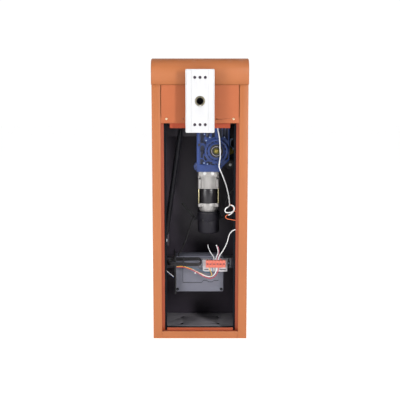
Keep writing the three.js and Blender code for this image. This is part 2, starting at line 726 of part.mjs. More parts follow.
// Worm, its journals and the driven gear of the first stage, in one piece.
function wormShaft() {
  const centre = [WORM_X, 0, OUTPUT_HEIGHT];
  const foot = GEARBOX_BOTTOM + GEARBOX_WALL + 2;
  const top = GEARBOX_TOP - GEARBOX_WALL - 2;
  const core = rod("z", [WORM_X, 0, 0], JOURNAL_RADIUS, foot, top, 16);
  const rib = WORM_LENGTH / 6;
  const threads = [];
  for (let z = -WORM_LENGTH / 2; z < WORM_LENGTH / 2 - 1; z += rib) {
    const profile = [
      [0, z],
      [WORM_RADIUS - TOOTH_DEPTH, z],
      [WORM_RADIUS, z + rib / 2],
      [WORM_RADIUS - TOOTH_DEPTH, z + rib],
      [0, z + rib],
    ];
    threads.push(turned("z", centre, profile, 16));
  }
  const gear = raised(toothed(WORM_X, 0, STAGE_GEAR_RADIUS, 1.6, STAGE_TEETH), foot, foot + STAGE_FACE);
  return join(core, threads, gear);
}

// ---- Motor and brake ----

function columns(z0, z1) {
  return sides((sx) =>
    sides((sy) => rod("z", [MOTOR_X + sx * COLUMN_X, sy * COLUMN_Y, 0], COLUMN_RADIUS, z0, z1, 12)),
  ).flat();
}

function motorEndBell() {
  const half = MOTOR_SQUARE / 2;
  const flange = roundedRectangle(MOTOR_X - half, MOTOR_X + half, -half, half, MOTOR_CORNER);
  const axis = [MOTOR_X, 0, 0];
  const ribs = sides((s) => {
    const inner = MOTOR_X + (s * (COLUMN_RADIUS + BARREL_RADIUS)) / 2;
    return block(MOTOR_X + s * COLUMN_X, inner, -COLUMN_Y, COLUMN_Y, STATOR_TOP, MOTOR_TOP - GAP);
  });
  return cut(
    join(
      raised(flange, MOTOR_TOP - MOTOR_FLANGE, MOTOR_TOP),
      rod("z", axis, BARREL_RADIUS, STATOR_TOP, MOTOR_TOP - MOTOR_FLANGE + GAP, 28),
      columns(STATOR_TOP, MOTOR_TOP - MOTOR_FLANGE + GAP),
      ribs,
    ),
    rod("z", axis, BARREL_RADIUS - MOTOR_WALL, STATOR_TOP - 1, MOTOR_TOP - MOTOR_WALL * 2, 24),
    rod("z", axis, PIN_RADIUS + LINK_GAP, STATOR_TOP, MOTOR_TOP + 1),
  );
}

function motorStator() {
  const bore = ROTOR_RADIUS + AIR_GAP;
  return ring("z", [MOTOR_X, 0, 0], bore, STATOR_RADIUS, REAR_TOP + GAP, STATOR_TOP - GAP, 28);
}

function motorRearBell() {
  const bottom = BRAKE_TOP + GAP;
  const ears = REAR_TOP - 13;
  const profile = [
    [0, bottom],
    [REAR_BELL_NECK, bottom],
    [BARREL_RADIUS, bottom + 12],
    [BARREL_RADIUS, REAR_TOP],
    [0, REAR_TOP],
  ];
  const axis = [MOTOR_X, 0, 0];
  const links = sides((s) => block(MOTOR_X, MOTOR_X + s * COLUMN_X, -COLUMN_Y, COLUMN_Y, ears, REAR_TOP));
  return cut(
    join(turned("z", axis, profile, 28), columns(ears, REAR_TOP), links),
    rod("z", axis, REAR_BELL_NECK - MOTOR_WALL, bottom + MOTOR_WALL, REAR_TOP + 1, 24),
    rod("z", axis, MOTOR_SHAFT_RADIUS + RUNNING_GAP, bottom - 1, REAR_TOP),
  );
}

function tieRod(s) {
  const centre = [MOTOR_X + s * (COLUMN_X + COLUMN_RADIUS / 2), -COLUMN_Y, 0];
  return rod("z", centre, TIE_ROD_RADIUS, REAR_TOP + GAP, STATOR_TOP - GAP, 12);
}

function brakeHousing() {
  const axis = [MOTOR_X, 0, 0];
  const bottom = COVER_TOP + GAP;
  return cut(
    join(
      rod("z", axis, BRAKE_RADIUS, bottom, BRAKE_TOP, 28),
      block(MOTOR_X - BRAKE_RADIUS - 4, MOTOR_X, -6, 10, bottom, bottom + 14),
      block(MOTOR_X, MOTOR_X + BRAKE_RADIUS + 4, -6, 10, bottom, bottom + 18),
    ),
    rod("z", axis, BRAKE_RADIUS - MOTOR_WALL, bottom - 1, BRAKE_TOP - MOTOR_WALL, 24),
    rod("z", axis, MOTOR_SHAFT_RADIUS + RUNNING_GAP, bottom, BRAKE_TOP + 1),
  );
}

function brakeCover() {
  const bottom = COVER_TOP - COVER_LENGTH;
  const inner = COVER_RADIUS - MOTOR_WALL / 2;
  const profile = [
    [0, bottom],
    [COVER_RADIUS - 3, bottom],
    [COVER_RADIUS, bottom + 3],
    [COVER_RADIUS, COVER_TOP],
    [inner, COVER_TOP],
    [inner, bottom + MOTOR_WALL],
    [0, bottom + MOTOR_WALL],
  ];
  return turned("z", [MOTOR_X, 0, 0], profile, 28);
}

// Motor shaft, rotor core and the pinion at its top end.
function motorRotor() {
  const axis = [MOTOR_X, 0, 0];
  const foot = GEARBOX_BOTTOM + GEARBOX_WALL + 2;
  const pinion = MOTOR_X - WORM_X - STAGE_GEAR_RADIUS - GAP;
  return join(
    rod("z", axis, MOTOR_SHAFT_RADIUS, COVER_TOP - COVER_LENGTH / 2, foot + STAGE_FACE),
    rod("z", axis, ROTOR_RADIUS, REAR_TOP + 4, STATOR_TOP - 4, 24),
    raised(toothed(MOTOR_X, 0, pinion, 1.6, PINION_TEETH), foot, foot + STAGE_FACE),
  );
}

// The flat handle that lifts the brake by hand.
function brakeLever() {
  const width = 9.6;
  const length = 76;
  const root = [MOTOR_X - BRAKE_RADIUS - 10, COVER_TOP + 2];
  const angle = THREE.MathUtils.degToRad(128);
  const tip = [root[0] + length * Math.cos(angle), root[1] + length * Math.sin(angle)];
  const across = [(width / 2) * Math.sin(angle), (-width / 2) * Math.cos(angle)];
  const y0 = 10 + GAP;
  return join(
    slab(
      polygon([
        [root[0] - across[0], root[1] - across[1]],
        [root[0] + across[0], root[1] + across[1]],
        [tip[0] + across[0], tip[1] + across[1]],
        [tip[0] - across[0], tip[1] - across[1]],
      ]),
      y0,
      y0 + 4,
    ),
    rod("y", [root[0], 0, root[1]], width / 2 + 1, y0, y0 + 4, 16),
  );
}

// ---- Boom ----

function boomShaft() {
  const axis = [0, 0, BOOM_HEIGHT];
  const front = PLATE_FRONT + 1;
  return cut(
    rod("y", axis, SHAFT_RADIUS, front, PANEL_Y - GAP, 28),
    rod("y", axis, SHAFT_BORE_RADIUS, front - 1, front + SHAFT_BORE_DEPTH, 24),
    keyway(GAP),
  );
}

function keyway(clearance) {
  const half = KEY_WIDTH / 2 + clearance;
  return block(
    -half,
    half,
    PLATE_FRONT - 2 * clearance,
    PLATE_FRONT + KEY_LENGTH + clearance,
    BOOM_HEIGHT - KEY_OUTER - clearance,
    BOOM_HEIGHT - KEY_INNER + clearance,
  );
}

function shaftKey() {
  const half = KEY_WIDTH / 2;
  const foot = BOOM_HEIGHT - KEY_OUTER;
  return block(-half, half, PLATE_FRONT + GAP, PLATE_FRONT + KEY_LENGTH, foot, BOOM_HEIGHT - KEY_INNER);
}

// The plate that the arm bolts to, on a hub that is keyed to the shaft.
function armPlate() {
  const halfWidth = PLATE_WIDTH / 2;
  const halfLength = PLATE_LENGTH / 2;
  const back = PLATE_FRONT + PLATE_THICKNESS;
  const axis = [0, 0, BOOM_HEIGHT];
  const outline = roundedRectangle(
    -halfWidth,
    halfWidth,
    BOOM_HEIGHT - halfLength,
    BOOM_HEIGHT + halfLength,
    PLATE_CORNER,
  );
  const bands = sides((s) =>
    block(
      s * PLATE_BAND_HALF,
      s * (halfWidth - PLATE_CORNER),
      PLATE_FRONT - 1,
      PLATE_FRONT + PLATE_BAND_STEP,
      BOOM_HEIGHT - halfLength + PLATE_CORNER,
      BOOM_HEIGHT + halfLength - PLATE_CORNER,
    ),
  );
  const holes = sides((row) =>
    [-1, 0, 1].map((column) =>
      rod(
        "y",
        [column * ARM_HOLE_PITCH, 0, BOOM_HEIGHT + row * ARM_HOLE_ROW],
        ARM_HOLE_RADIUS,
        PLATE_FRONT - 1,
        back + 1,
        16,
      ),
    ),
  ).flat();
  return cut(
    join(slab(outline, PLATE_FRONT, back), rod("y", axis, HUB_RADIUS, back - 1, back + HUB_LENGTH, 28)),
    bands,
    holes,
    rod("y", axis, SHAFT_RADIUS + GAP, PLATE_FRONT - 1, back + HUB_LENGTH + 1, 28),
    keyway(GAP),
  );
}

function springArm() {
  const axis = [0, 0, BOOM_HEIGHT];
  const eye = [ARM_X, BOOM_HEIGHT - ARM_DROP, ARM_EYE_RADIUS];
  return cut(
    join(
      slab(strap([0, BOOM_HEIGHT, LEVER_HUB_RADIUS], eye), ARM_Y, ARM_Y + LINK_THICKNESS),
      rod("y", axis, LEVER_HUB_RADIUS, ARM_Y, ARM_Y + 2 * LINK_THICKNESS, 24),
    ),
    rod("y", axis, SHAFT_RADIUS + GAP, 0, ARM_Y + 3 * LINK_THICKNESS, 28),
  );
}

// The lever that the rod turns, with its pin and, opposite, the tail that meets the buffers.
function rodLever() {
  const axis = [0, 0, BOOM_HEIGHT];
  const hub = [0, BOOM_HEIGHT, LEVER_HUB_RADIUS];
  const reach = Math.hypot(PIN_X, PIN_DROP);
  const tail = [(-PIN_X / reach) * STOP_TAIL, BOOM_HEIGHT + (PIN_DROP / reach) * STOP_TAIL];
  const back = LINK_Y + LINK_THICKNESS;
  return cut(
    join(
      slab(strap(hub, [PIN_X, BOOM_HEIGHT - PIN_DROP, EYE_RADIUS]), LINK_Y, back),
      slab(strap([0, BOOM_HEIGHT, STOP_TAIL_HALF], [...tail, STOP_TAIL_HALF - GAP]), LINK_Y, back),
      rod("y", axis, LEVER_HUB_RADIUS, LINK_Y - LINK_THICKNESS, back, 24),
      rod("y", [PIN_X, 0, BOOM_HEIGHT - PIN_DROP], PIN_RADIUS, LINK_Y, ROD_Y + ROD_THICKNESS + LINK_GAP, 16),
    ),
    rod("y", axis, SHAFT_RADIUS + GAP, LINK_Y - 2 * LINK_THICKNESS, back + 1, 28),
  );
}

// ---- Crank and connecting rod ----

// A cam plate with the crank's eye and, beside it, the tip that works the limit switch.
function crank() {
  const hub = [OUTPUT_X, OUTPUT_HEIGHT];
  const eye = [OUTPUT_X + PIN_X, OUTPUT_HEIGHT - PIN_DROP];
  const tip = [OUTPUT_X + CAM_TIP_X, OUTPUT_HEIGHT - CAM_TIP_DROP, CAM_TIP_RADIUS];
  const back = LINK_Y + LINK_THICKNESS;
  return cut(
    join(
      slab(strap([...hub, CRANK_HALF_WIDTH], [...eye, CRANK_HALF_WIDTH - GAP]), LINK_Y, back, 12),
      slab(strap([...hub, CAM_RADIUS], tip), LINK_Y, back, 12),
    ),
    rod("y", [eye[0], 0, eye[1]], PIN_RADIUS + GAP, LINK_Y - 1, back + 1, 16),
  );
}

// The bolt that the rod turns on, with a broad black washer under its head.
function crankBolt() {
  const centre = [OUTPUT_X + PIN_X, 0, OUTPUT_HEIGHT - PIN_DROP];
  const washer = LINK_Y - GAP;
  return join(
    rod("y", centre, EYE_RADIUS + 1, washer - 3, washer, 24),
    rod("y", centre, PIN_RADIUS, washer - 8, washer, 6),
    rod("y", centre, PIN_RADIUS, washer, ROD_Y + ROD_THICKNESS + LINK_GAP, 16),
  );
}

function connectingRod() {
  const low = [OUTPUT_X + PIN_X, OUTPUT_HEIGHT - PIN_DROP];
  const high = [PIN_X, BOOM_HEIGHT - PIN_DROP];
  const back = ROD_Y + ROD_THICKNESS;
  const bore = PIN_RADIUS + 2 * GAP;
  return cut(
    join(
      slab(strap([...low, ROD_WIDTH / 2], [...high, ROD_WIDTH / 2]), ROD_Y + 1, back - 1),
      [low, high].map(([x, z]) => rod("y", [x, 0, z], EYE_RADIUS, ROD_Y, back, 24)),
    ),
    [low, high].map(([x, z]) => rod("y", [x, 0, z], bore, ROD_Y - 1, back + 1, 16)),
  );
}

// ---- Limit switch ----

function limitSwitch() {
  return join(
    block(
      SWITCH_X - SWITCH_WIDTH / 2,
      SWITCH_X + SWITCH_WIDTH / 2,
      SWITCH_Y,
      SWITCH_Y + 16,
      SWITCH_BOTTOM,
      SWITCH_BOTTOM + SWITCH_HEIGHT,
    ),
    rod("y", [SWITCH_X - 8, 0, SWITCH_BOTTOM - 5], 3.4, SWITCH_Y + 9, SWITCH_Y + 16, 12),
    block(SWITCH_X - 11, SWITCH_X - 5, SWITCH_Y + 9, SWITCH_Y + 16, SWITCH_BOTTOM - 5, SWITCH_BOTTOM + 1),
  );
}

// The bent steel lever: down beside the cam, then across to a small roller just clear of the cam's tip.
function switchLever() {
  const pivot = [SWITCH_X - 8, SWITCH_BOTTOM - 5, 4];
  const shoulder = [pivot[0] - 5, pivot[1] - 1, 3];
  const bend = [shoulder[0] - 2, ROLLER_HEIGHT + 14, 1.8];
  const y0 = SWITCH_Y + 3;
  return join(
    slab(strap(pivot, shoulder), y0, y0 + 2),
    slab(strap(shoulder, bend), y0, y0 + 2),
    slab(strap(bend, [ROLLER_X, ROLLER_HEIGHT, 1.6]), y0, y0 + 2),
    rod("y", [ROLLER_X, 0, ROLLER_HEIGHT], ROLLER_RADIUS, y0, y0 + 7, 20),
  );
}

// ---- Balance spring, drawn along +Z from its anchor pin and then leaned over ----

const SPRING_TOP = new THREE.Vector2(ARM_X - ANCHOR_X, BOOM_HEIGHT - ARM_DROP - ANCHOR_HEIGHT);
const SPRING_LENGTH = SPRING_TOP.length();
const SPRING_LEAN = Math.atan2(SPRING_TOP.x, SPRING_TOP.y);
const ORIGIN = [0, 0, 0];

// The coil as a plain body, with the eye that hangs on the anchor bolt.
function balanceSpring() {
  const shoulder = SPRING_LENGTH - COIL_TOP_GAP;
  const half = SPRING_EYE_THICKNESS / 2;
  const profile = [
    [0, COIL_START - 8],
    [SPRING_HOOK_RADIUS, COIL_START - 8],
    [SPRING_RADIUS, COIL_START],
    [SPRING_RADIUS, shoulder],
    [SPRING_HOOK_RADIUS + 1.5, shoulder + COIL_TAPER],
    [0, shoulder + COIL_TAPER],
  ];
  return cut(
    join(
      turned("z", ORIGIN, profile, 16),
      rod("z", ORIGIN, SPRING_HOOK_RADIUS, SPRING_EYE_RADIUS - 2, COIL_START, 12),
      rod("y", ORIGIN, SPRING_EYE_RADIUS, -half, half, 20),
    ),
    rod("y", ORIGIN, SPRING_PIN_RADIUS + RUNNING_GAP, -half - 1, half + 1, 16),
  );
}

// The top hook: a rod out of the coil, an eye and its pin, whose end faces the spring arm.
function springHook() {
  const shoulder = SPRING_LENGTH - COIL_TOP_GAP;
  const half = SPRING_EYE_THICKNESS / 2;
  const top = [0, 0, SPRING_LENGTH];
  return join(
    rod("z", ORIGIN, SPRING_HOOK_RADIUS, shoulder + COIL_TAPER + GAP, SPRING_LENGTH, 12),
    rod("y", top, SPRING_EYE_RADIUS, -half, half, 20),
    rod("y", top, SPRING_PIN_RADIUS, -half - 5, ARM_Y - GAP, 16),
  );
}

function anchorBolt() {
  const centre = [ANCHOR_X, 0, ANCHOR_HEIGHT];
  const head = SPRING_EYE_THICKNESS / 2 + GAP;
  return join(
    rod("y", centre, SPRING_PIN_RADIUS * 1.8, -head - 7, -head, 6),
    rod("y", centre, SPRING_PIN_RADIUS, -head, ARM_Y + LINK_THICKNESS, 16),
  );
}

function anchorBracket() {
  const y0 = ARM_Y;
  const y1 = ARM_Y + BASE_SHEET;
  const z0 = ANCHOR_HEIGHT - 25;
  const z1 = ANCHOR_HEIGHT + 25;
  return cut(
    join(
      block(-INNER_X, ANCHOR_X + 14, y0, y1, z0, z1),
      block(-INNER_X, -INNER_X + BASE_SHEET, y0, y0 + 40, z0, z1),
    ),
    rod("y", [ANCHOR_X, 0, ANCHOR_HEIGHT], SPRING_PIN_RADIUS + GAP, y0 - 1, y1 + 1, 16),
  );
}

// ---- Control box and terminals ----

function boxOutline() {
  return roundedRectangle(BOX_LEFT, BOX_RIGHT, BOX_BOTTOM, BOX_TOP, BOX_CORNER);
}

// The space inside the box between two depths, keeping clear of its top and bottom by an inset.
function boxHollow(y0, y1, inset) {
  const left = BOX_LEFT + BOX_WALL;
  return block(left, BOX_RIGHT - BOX_WALL, y0, y1, BOX_BOTTOM + inset, BOX_TOP - inset);
}

function controlBox() {
  const lidBack = BOX_FRONT_Y + BOX_LID + GAP;
  return cut(
    slab(boxOutline(), lidBack, BOX_BACK_Y),
    boxHollow(lidBack - 1, BOX_BACK_Y - BOX_WALL, BOX_WALL),
  );
}

// The lid, with the raised line that follows the board's tall parts behind it and four sunk screw holes.
function controlBoxLid() {
  const back = BOX_FRONT_Y + BOX_LID;
  const ridge = [
    [-63.5, 189.5],
    [6, 189.5],
    [13, 197.5],
    [26, 197.5],
    [32, 191.5],
    [46, 191.5],
    [52, 197],
    [69, 197],
  ];
  const segments = ridge.slice(1).map((end, i) => {
    const outline = strap([...ridge[i], 1.2], [...end, 1.2 - 1e-3]);
    return slab(outline, BOX_FRONT_Y - 1, BOX_FRONT_Y + 1, 3);
  });
  const screws = sides((sx) =>
    sides((sz) => {
      const x = (BOX_LEFT + BOX_RIGHT) / 2 + sx * ((BOX_RIGHT - BOX_LEFT) / 2 - 8);
      const z = (BOX_BOTTOM + BOX_TOP) / 2 + sz * ((BOX_TOP - BOX_BOTTOM) / 2 - 9);
      return rod("y", [x, 0, z], 3.2, BOX_FRONT_Y - 2, BOX_FRONT_Y + 6, 16);
    }),
  ).flat();
  const lid = join(slab(boxOutline(), BOX_FRONT_Y, back), segments);
  return cut(lid, screws, boxHollow(back - 4, back + 1, 20));
}

function controlBoard() {
  const y = BOX_BACK_Y - BOX_WALL - 10;
  const left = BOX_LEFT + 12;
  const bottom = BOX_BOTTOM + 14;
  return join(
    block(left, BOX_RIGHT - 12, y, y + 1.6, bottom, BOX_TOP - 14),
    block(left + 10, left + 60, y - 24, y + 0.2, bottom + 12, bottom + 52),
    block(left + 85, left + 130, y - 14, y + 0.2, bottom + 20, bottom + 60),
    block(left + 12, left + 140, y - 11, y + 0.2, bottom + 84, bottom + 96),
  );
}

// A top-hat rail of folded strip.
function mountingRail() {
  const half = RAIL_WIDTH / 2;
  const web = half - 5;
  const front = RAIL_BACK_Y - RAIL_RISE;
  const strip = (y0, y1, z0, z1) => {
    return block(RAIL_LEFT, RAIL_RIGHT, y0, y1, RAIL_CENTRE_Z + z0, RAIL_CENTRE_Z + z1);
  };
  return join(
    strip(RAIL_BACK_Y - RAIL_SHEET, RAIL_BACK_Y, -web, web),
    sides((s) => [
      strip(front, RAIL_BACK_Y, s * web, s * (web - RAIL_SHEET)),
      strip(front, front + RAIL_SHEET, s * half, s * (web - RAIL_SHEET)),
    ]).flat(),
  );
}

function terminalCarrier() {
  const slot = CARRIER_BOTTOM + 6;
  const slots = [
    [CARRIER_LEFT + 5, CARRIER_LEFT + 21],
    [CARRIER_RIGHT - 29, CARRIER_RIGHT - 5],
  ].map(([x0, x1]) => block(x0, x1, CARRIER_FRONT_Y - 1, CARRIER_FRONT_Y + 6, slot, slot + 3));
  const outline = roundedRectangle(CARRIER_LEFT, CARRIER_RIGHT, CARRIER_BOTTOM, CARRIER_TOP, 2);
  return cut(slab(outline, CARRIER_FRONT_Y, CARRIER_BACK_Y, 3), slots);
}

// A strip of screw terminals: a screw well in front of each way and a wire hole above and below.
function terminalBlock() {
  const back = BLOCK_FRONT_Y + BLOCK_DEPTH;
  const pitch = (BLOCK_RIGHT - BLOCK_LEFT) / BLOCK_WAYS;
  const middle = (BLOCK_BOTTOM + BLOCK_TOP) / 2;
  const cuts = [];
  for (let way = 0; way < BLOCK_WAYS; way += 1) {
    const x = BLOCK_LEFT + (way + 0.5) * pitch;
    cuts.push(rod("y", [x, 0, middle], 3, BLOCK_FRONT_Y - 1, BLOCK_FRONT_Y + 6, 12));
    for (const z of [BLOCK_TOP - 5, BLOCK_BOTTOM - 1]) {
      cuts.push(block(x - 2.5, x + 2.5, back - 9, back - 4, z, z + 6));
    }
  }
  for (let way = 1; way < BLOCK_WAYS; way += 1) {
    const x = BLOCK_LEFT + way * pitch;
    cuts.push(block(x - 0.6, x + 0.6, BLOCK_FRONT_Y - 1, BLOCK_FRONT_Y + 2, BLOCK_BOTTOM - 1, BLOCK_TOP + 1));
  }
  return cut(block(BLOCK_LEFT, BLOCK_RIGHT, BLOCK_FRONT_Y, back, BLOCK_BOTTOM, BLOCK_TOP), cuts);
}

// ---- Cords: routes chosen by hand ----

const WHITE_LEAD = [
  [52, -97, 806],
  [57.5, -93, 787],
  [63, -88, 766.2],
  [65.8, -80, 753],
  [68.5, -72, 742.5],
  [71, -66, 727],
  [72.6, -63, 706],
  [73.6, -63, 681],
  [74, -63, 657],
  [71.5, -62, 642],
  [70.3, -61.5, 626.5],
  [73, -62, 614.5],
  [80, -66, 598.5],
  [88, -72, 578.5],
  [96, -80, 556],
  [103, -90, 529],
  [106, -97, 509.5],
  [107.4, -105, 489],
  [102.8, -110, 482.6],
  [94.4, -112, 477.6],
  [90.6, -114, 470],
  [94.4, -117, 463],
  [104.9, -121, 462.5],
  [116, -127, 466.5],
  [122.6, -132, 474],
  [123.2, -134, 482.5],
  [118.4, -131, 489],
  [110.7, -126, 491],
];
const ORANGE_WIRE = [
  [104.5, -122, 455.5],
  [97.5, -124, 454.2],
  [92.6, -125.2, 449.2],
  [94.6, -127, 443.4],
  [102.5, -128.4, 440.2],
  [114, -130, 438.4],
  [126.8, -130, 436.5],
  [134.5, -130, 436],
];
const SIDE_LEAD = [
  [134.5, -130, 403],
  [126, -130, 401.5],
  [117, -130, 397],
  [109.5, -127, 388.5],
  [104.5, -122, 375.9],
  [100.7, -116, 359],
  [95, -110, 341],
  [86.3, -104, 322],
  [76.8, -99, 306.5],
  [70, -94.5, 293.5],
  [68, -90.5, 282],
];
const LOOSE_WIRE = [
  [29, -74, 335],
  [31, -76, 325],
  [36, -79, 312],
  [44, -83, 300],
  [50, -88, 291],
  [52, -91, 281],
];
const UPPER_WIRES = [
  [60, -75, 333],
  [64, -77, 326],
  [68, -80, 315],
  [68.5, -83, 305],
  [65, -87, 295],
  [61, -90, 288],
  [60, -91, 281.5],
];
const LOWER_WIRES = [
  [-86, -92, 254],
  [-72, -92, 256],
  [-56, -92, 254],
  [-40, -92, 249],
  [-22, -91, 240],
  [-4, -90, 228],
  [14, -90, 216],
  [32, -90, 208],
  [46, -90, 211],
  [56, -91, 222],
  [63, -92, 237],
  [66, -92, 252],
];
const MOTOR_CABLE = [
  [-15, 2, 424],
  [-20, 2, 424],
  [-28, 1, 415],
  [-34, 0, 400],
  [-41, -6, 378],
  [-50, -14, 350],
  [-60, -26, 327],
  [-68, -40, 311],
  [-75, -56, 303],
  [-79, -68, 299],
  [-80.5, -77, 294],
];
const BRAKE_CABLE = [
  [78.6, 2, 424],
  [83, 2, 424],
  [91, 3, 429],
  [94, 4, 440],
  [95, 5, 456],
  [98, 6, 478],
  [106, 7, 500],
  [118, 8, 520],
  [132, 9, 534],
  [147, 10, 540],
];
const HANK_TAIL = [
  [-97, -20, 302],
  [-96, -36, 301],
  [-95, -52, 300],
  [-94, -68, 299],
  [-93, -82, 296],
  [-92, -91, 286],
  [-92, -92.5, 270],
  [-92, -92.5, 250],
  [-91.5, -92, 225],
  [-91, -90, 196],
  [-91, -88.5, 172],
  [-91, -87, 152],
];
const CORD_STEP = 2.6; // in diameters

function cord(points, diameter) {
  const path = new THREE.CatmullRomCurve3(points.map((p) => new THREE.Vector3(...p)));
  const steps = Math.min(80, Math.ceil(path.getLength() / (CORD_STEP * diameter)));
  return tube(points, diameter, steps);
}

// The spare cable, folded and tied in line with the shelf.
function cableHank() {
  const shape = new THREE.Shape();
  shape.moveTo(-129, 266);
  shape.quadraticCurveTo(-118, 280, -98, 285);
  shape.quadraticCurveTo(-60, 291, -14, 291);
  shape.quadraticCurveTo(0, 289, 7, 275);
  shape.quadraticCurveTo(7, 269, 0, 260);
  shape.quadraticCurveTo(-8, 253, -30, 254);
  shape.quadraticCurveTo(-80, 259, -112, 257);
  shape.quadraticCurveTo(-126, 258, -129, 266);
  return slab(shape, CARRIER_FRONT_Y, CARRIER_FRONT_Y + HANK_THICKNESS, 5);
}

// ---- The assembly ----

const cabinet = group(
  piece("cabinet_shell", cabinetShell(), ORANGE),
  piece("bottom_rail", bottomRail(), ORANGE),
  piece("front_panel", frontPanel(), ORANGE),
  piece("hood", hood(), ORANGE),
);

const chassis = group(
  piece("chassis_side_left", chassisSide(-1), CHASSIS_BLACK),
  piece("chassis_side_right", chassisSide(1), CHASSIS_BLACK),
  piece("back_panel", backPanel(), CHASSIS_BLACK),
  piece("base_plate", basePlate(), BASE_GREY),
  piece("cross_shelf", crossShelf(), SHELF_GREY),
  piece("front_bridge", frontBridge(), CHASSIS_BLACK),
  piece("gearbox_beam", gearboxBeam(), CHASSIS_BLACK),
  piece("front_bearing", shaftBearing(BRIDGE_BACK + GAP, BRIDGE_BACK + GAP + BEARING_LENGTH), STEEL),
  piece("rear_bearing", shaftBearing(PANEL_Y - GAP, PANEL_Y - GAP - BEARING_LENGTH), STEEL),
  piece("buffer_open", buffer(false), RUBBER),
  piece("buffer_closed", buffer(true), RUBBER),
);

const drive = group(
  piece("gearbox_housing", gearboxHousing(), GEARBOX_BLUE),
  piece("gearbox_cover", gearboxCover(), GEARBOX_BLUE),
  piece("output_seal", outputSeal(), RUBBER),
  piece("worm_shaft", wormShaft(), STEEL),
  piece("motor_end_bell", motorEndBell(), SILVER),
  piece("motor_stator", motorStator(), BLACK_PLASTIC),
  piece("motor_rear_bell", motorRearBell(), SILVER),
  piece("tie_rod_left", tieRod(-1), STEEL),
  piece("tie_rod_right", tieRod(1), STEEL),
  piece("motor_rotor", motorRotor(), STEEL),
  piece("brake_housing", brakeHousing(), BLACK_PLASTIC),
  piece("brake_cover", brakeCover(), BLACK_PLASTIC),
  piece("brake_lever", brakeLever(), BLACK_PLASTIC),
);

const boom = group(
  piece("boom_shaft", boomShaft(), YELLOW_ZINC),
  piece("shaft_key", shaftKey(), STEEL),
  piece("arm_plate", armPlate(), WHITE),
  piece("spring_arm", springArm(), YELLOW_ZINC),
  piece("rod_lever", rodLever(), YELLOW_ZINC),
);

const linkage = group(
  piece("worm_wheel", wormWheel(), BRONZE),
  piece("output_shaft", outputShaft(), YELLOW_ZINC),
  piece("crank", crank(), YELLOW_ZINC),
  piece("crank_bolt", crankBolt(), STEEL),
  piece("connecting_rod", connectingRod(), BLACK_PLASTIC),
  piece("limit_switch", limitSwitch(), BLACK_PLASTIC),
  piece("switch_lever", switchLever(), STEEL),
);

const spring = group(
  piece("balance_spring", balanceSpring(), CHASSIS_BLACK),
  piece("spring_hook", springHook(), CHASSIS_BLACK),
);
spring.position.set(ANCHOR_X, 0, ANCHOR_HEIGHT);
spring.rotation.y = SPRING_LEAN;

const anchor = group(
  piece("anchor_bolt", anchorBolt(), STEEL),
  piece("anchor_bracket", anchorBracket(), CHASSIS_BLACK),
);

const electrics = group(
  piece("control_box", controlBox(), BOX_GREY),
  piece("control_box_lid", controlBoxLid(), BOX_GREY),
  piece("control_board", controlBoard(), BOARD_GREEN),
  piece("mounting_rail", mountingRail(), SILVER),
  piece("terminal_carrier", terminalCarrier(), WHITE),
  piece("terminal_block", terminalBlock(), CORAL),
);

const cords = group(
  piece("white_lead", cord(WHITE_LEAD, LEAD_DIAMETER), CORD_WHITE),
  piece("orange_wire", cord(ORANGE_WIRE, WIRE_DIAMETER), CORD_ORANGE),
  piece("side_lead", cord(SIDE_LEAD, SIDE_LEAD_DIAMETER), CORD_WHITE),
  piece("loose_wire", cord(LOOSE_WIRE, WIRE_DIAMETER), CORD_WHITE),
  piece("upper_wires", cord(UPPER_WIRES, PAIR_DIAMETER), CORD_WHITE),
  piece("lower_wires", cord(LOWER_WIRES, BUNDLE_DIAMETER), CORD_WHITE),
  piece("motor_cable", cord(MOTOR_CABLE, CABLE_DIAMETER), RUBBER),
  piece("brake_cable", cord(BRAKE_CABLE, CABLE_DIAMETER), RUBBER),
  piece("hank_tail", cord(HANK_TAIL, CABLE_DIAMETER), RUBBER),
  piece("cable_hank", cableHank(), RUBBER),
);

export default group(cabinet, chassis, drive, boom, linkage, spring, anchor, electrics, cords);
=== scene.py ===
"""A parking barrier gate with its service door off and its arm plate upright, dressed over its CAD frame.

Metres. The open service side faces -Y, +X is to the right seen from there, and +Z is up.
"""

import json
import math

import bmesh
import bpy
from mathutils import Matrix, Vector


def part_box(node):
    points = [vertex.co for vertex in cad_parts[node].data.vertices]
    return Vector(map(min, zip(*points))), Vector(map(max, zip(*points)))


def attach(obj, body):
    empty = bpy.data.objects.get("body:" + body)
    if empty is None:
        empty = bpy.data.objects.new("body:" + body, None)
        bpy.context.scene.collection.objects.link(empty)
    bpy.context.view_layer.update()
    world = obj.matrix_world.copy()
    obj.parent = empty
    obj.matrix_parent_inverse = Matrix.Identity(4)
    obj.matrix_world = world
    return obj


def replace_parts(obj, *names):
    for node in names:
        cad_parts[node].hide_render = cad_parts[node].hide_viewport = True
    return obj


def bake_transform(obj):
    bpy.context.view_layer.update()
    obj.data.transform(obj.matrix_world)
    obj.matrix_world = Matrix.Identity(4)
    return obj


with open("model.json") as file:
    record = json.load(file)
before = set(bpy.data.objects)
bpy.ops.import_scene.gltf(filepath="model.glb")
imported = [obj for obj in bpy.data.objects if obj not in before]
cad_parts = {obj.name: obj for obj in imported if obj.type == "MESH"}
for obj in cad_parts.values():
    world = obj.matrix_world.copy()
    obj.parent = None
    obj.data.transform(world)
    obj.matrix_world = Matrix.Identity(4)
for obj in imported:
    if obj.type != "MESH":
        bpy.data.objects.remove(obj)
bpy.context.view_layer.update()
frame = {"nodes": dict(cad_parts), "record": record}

# ---- Studio ----
# A pale floor with a painted shadow where the cabinet covers it, and a white surround. Two soft boxes
# stand in front, one to each side of the lens, with a weak one overhead.

LENS_HEIGHT = 0.905
LENS_DISTANCE = 2.820
LENS_PITCH = math.radians(8.35)
LENS_MM = 68.04

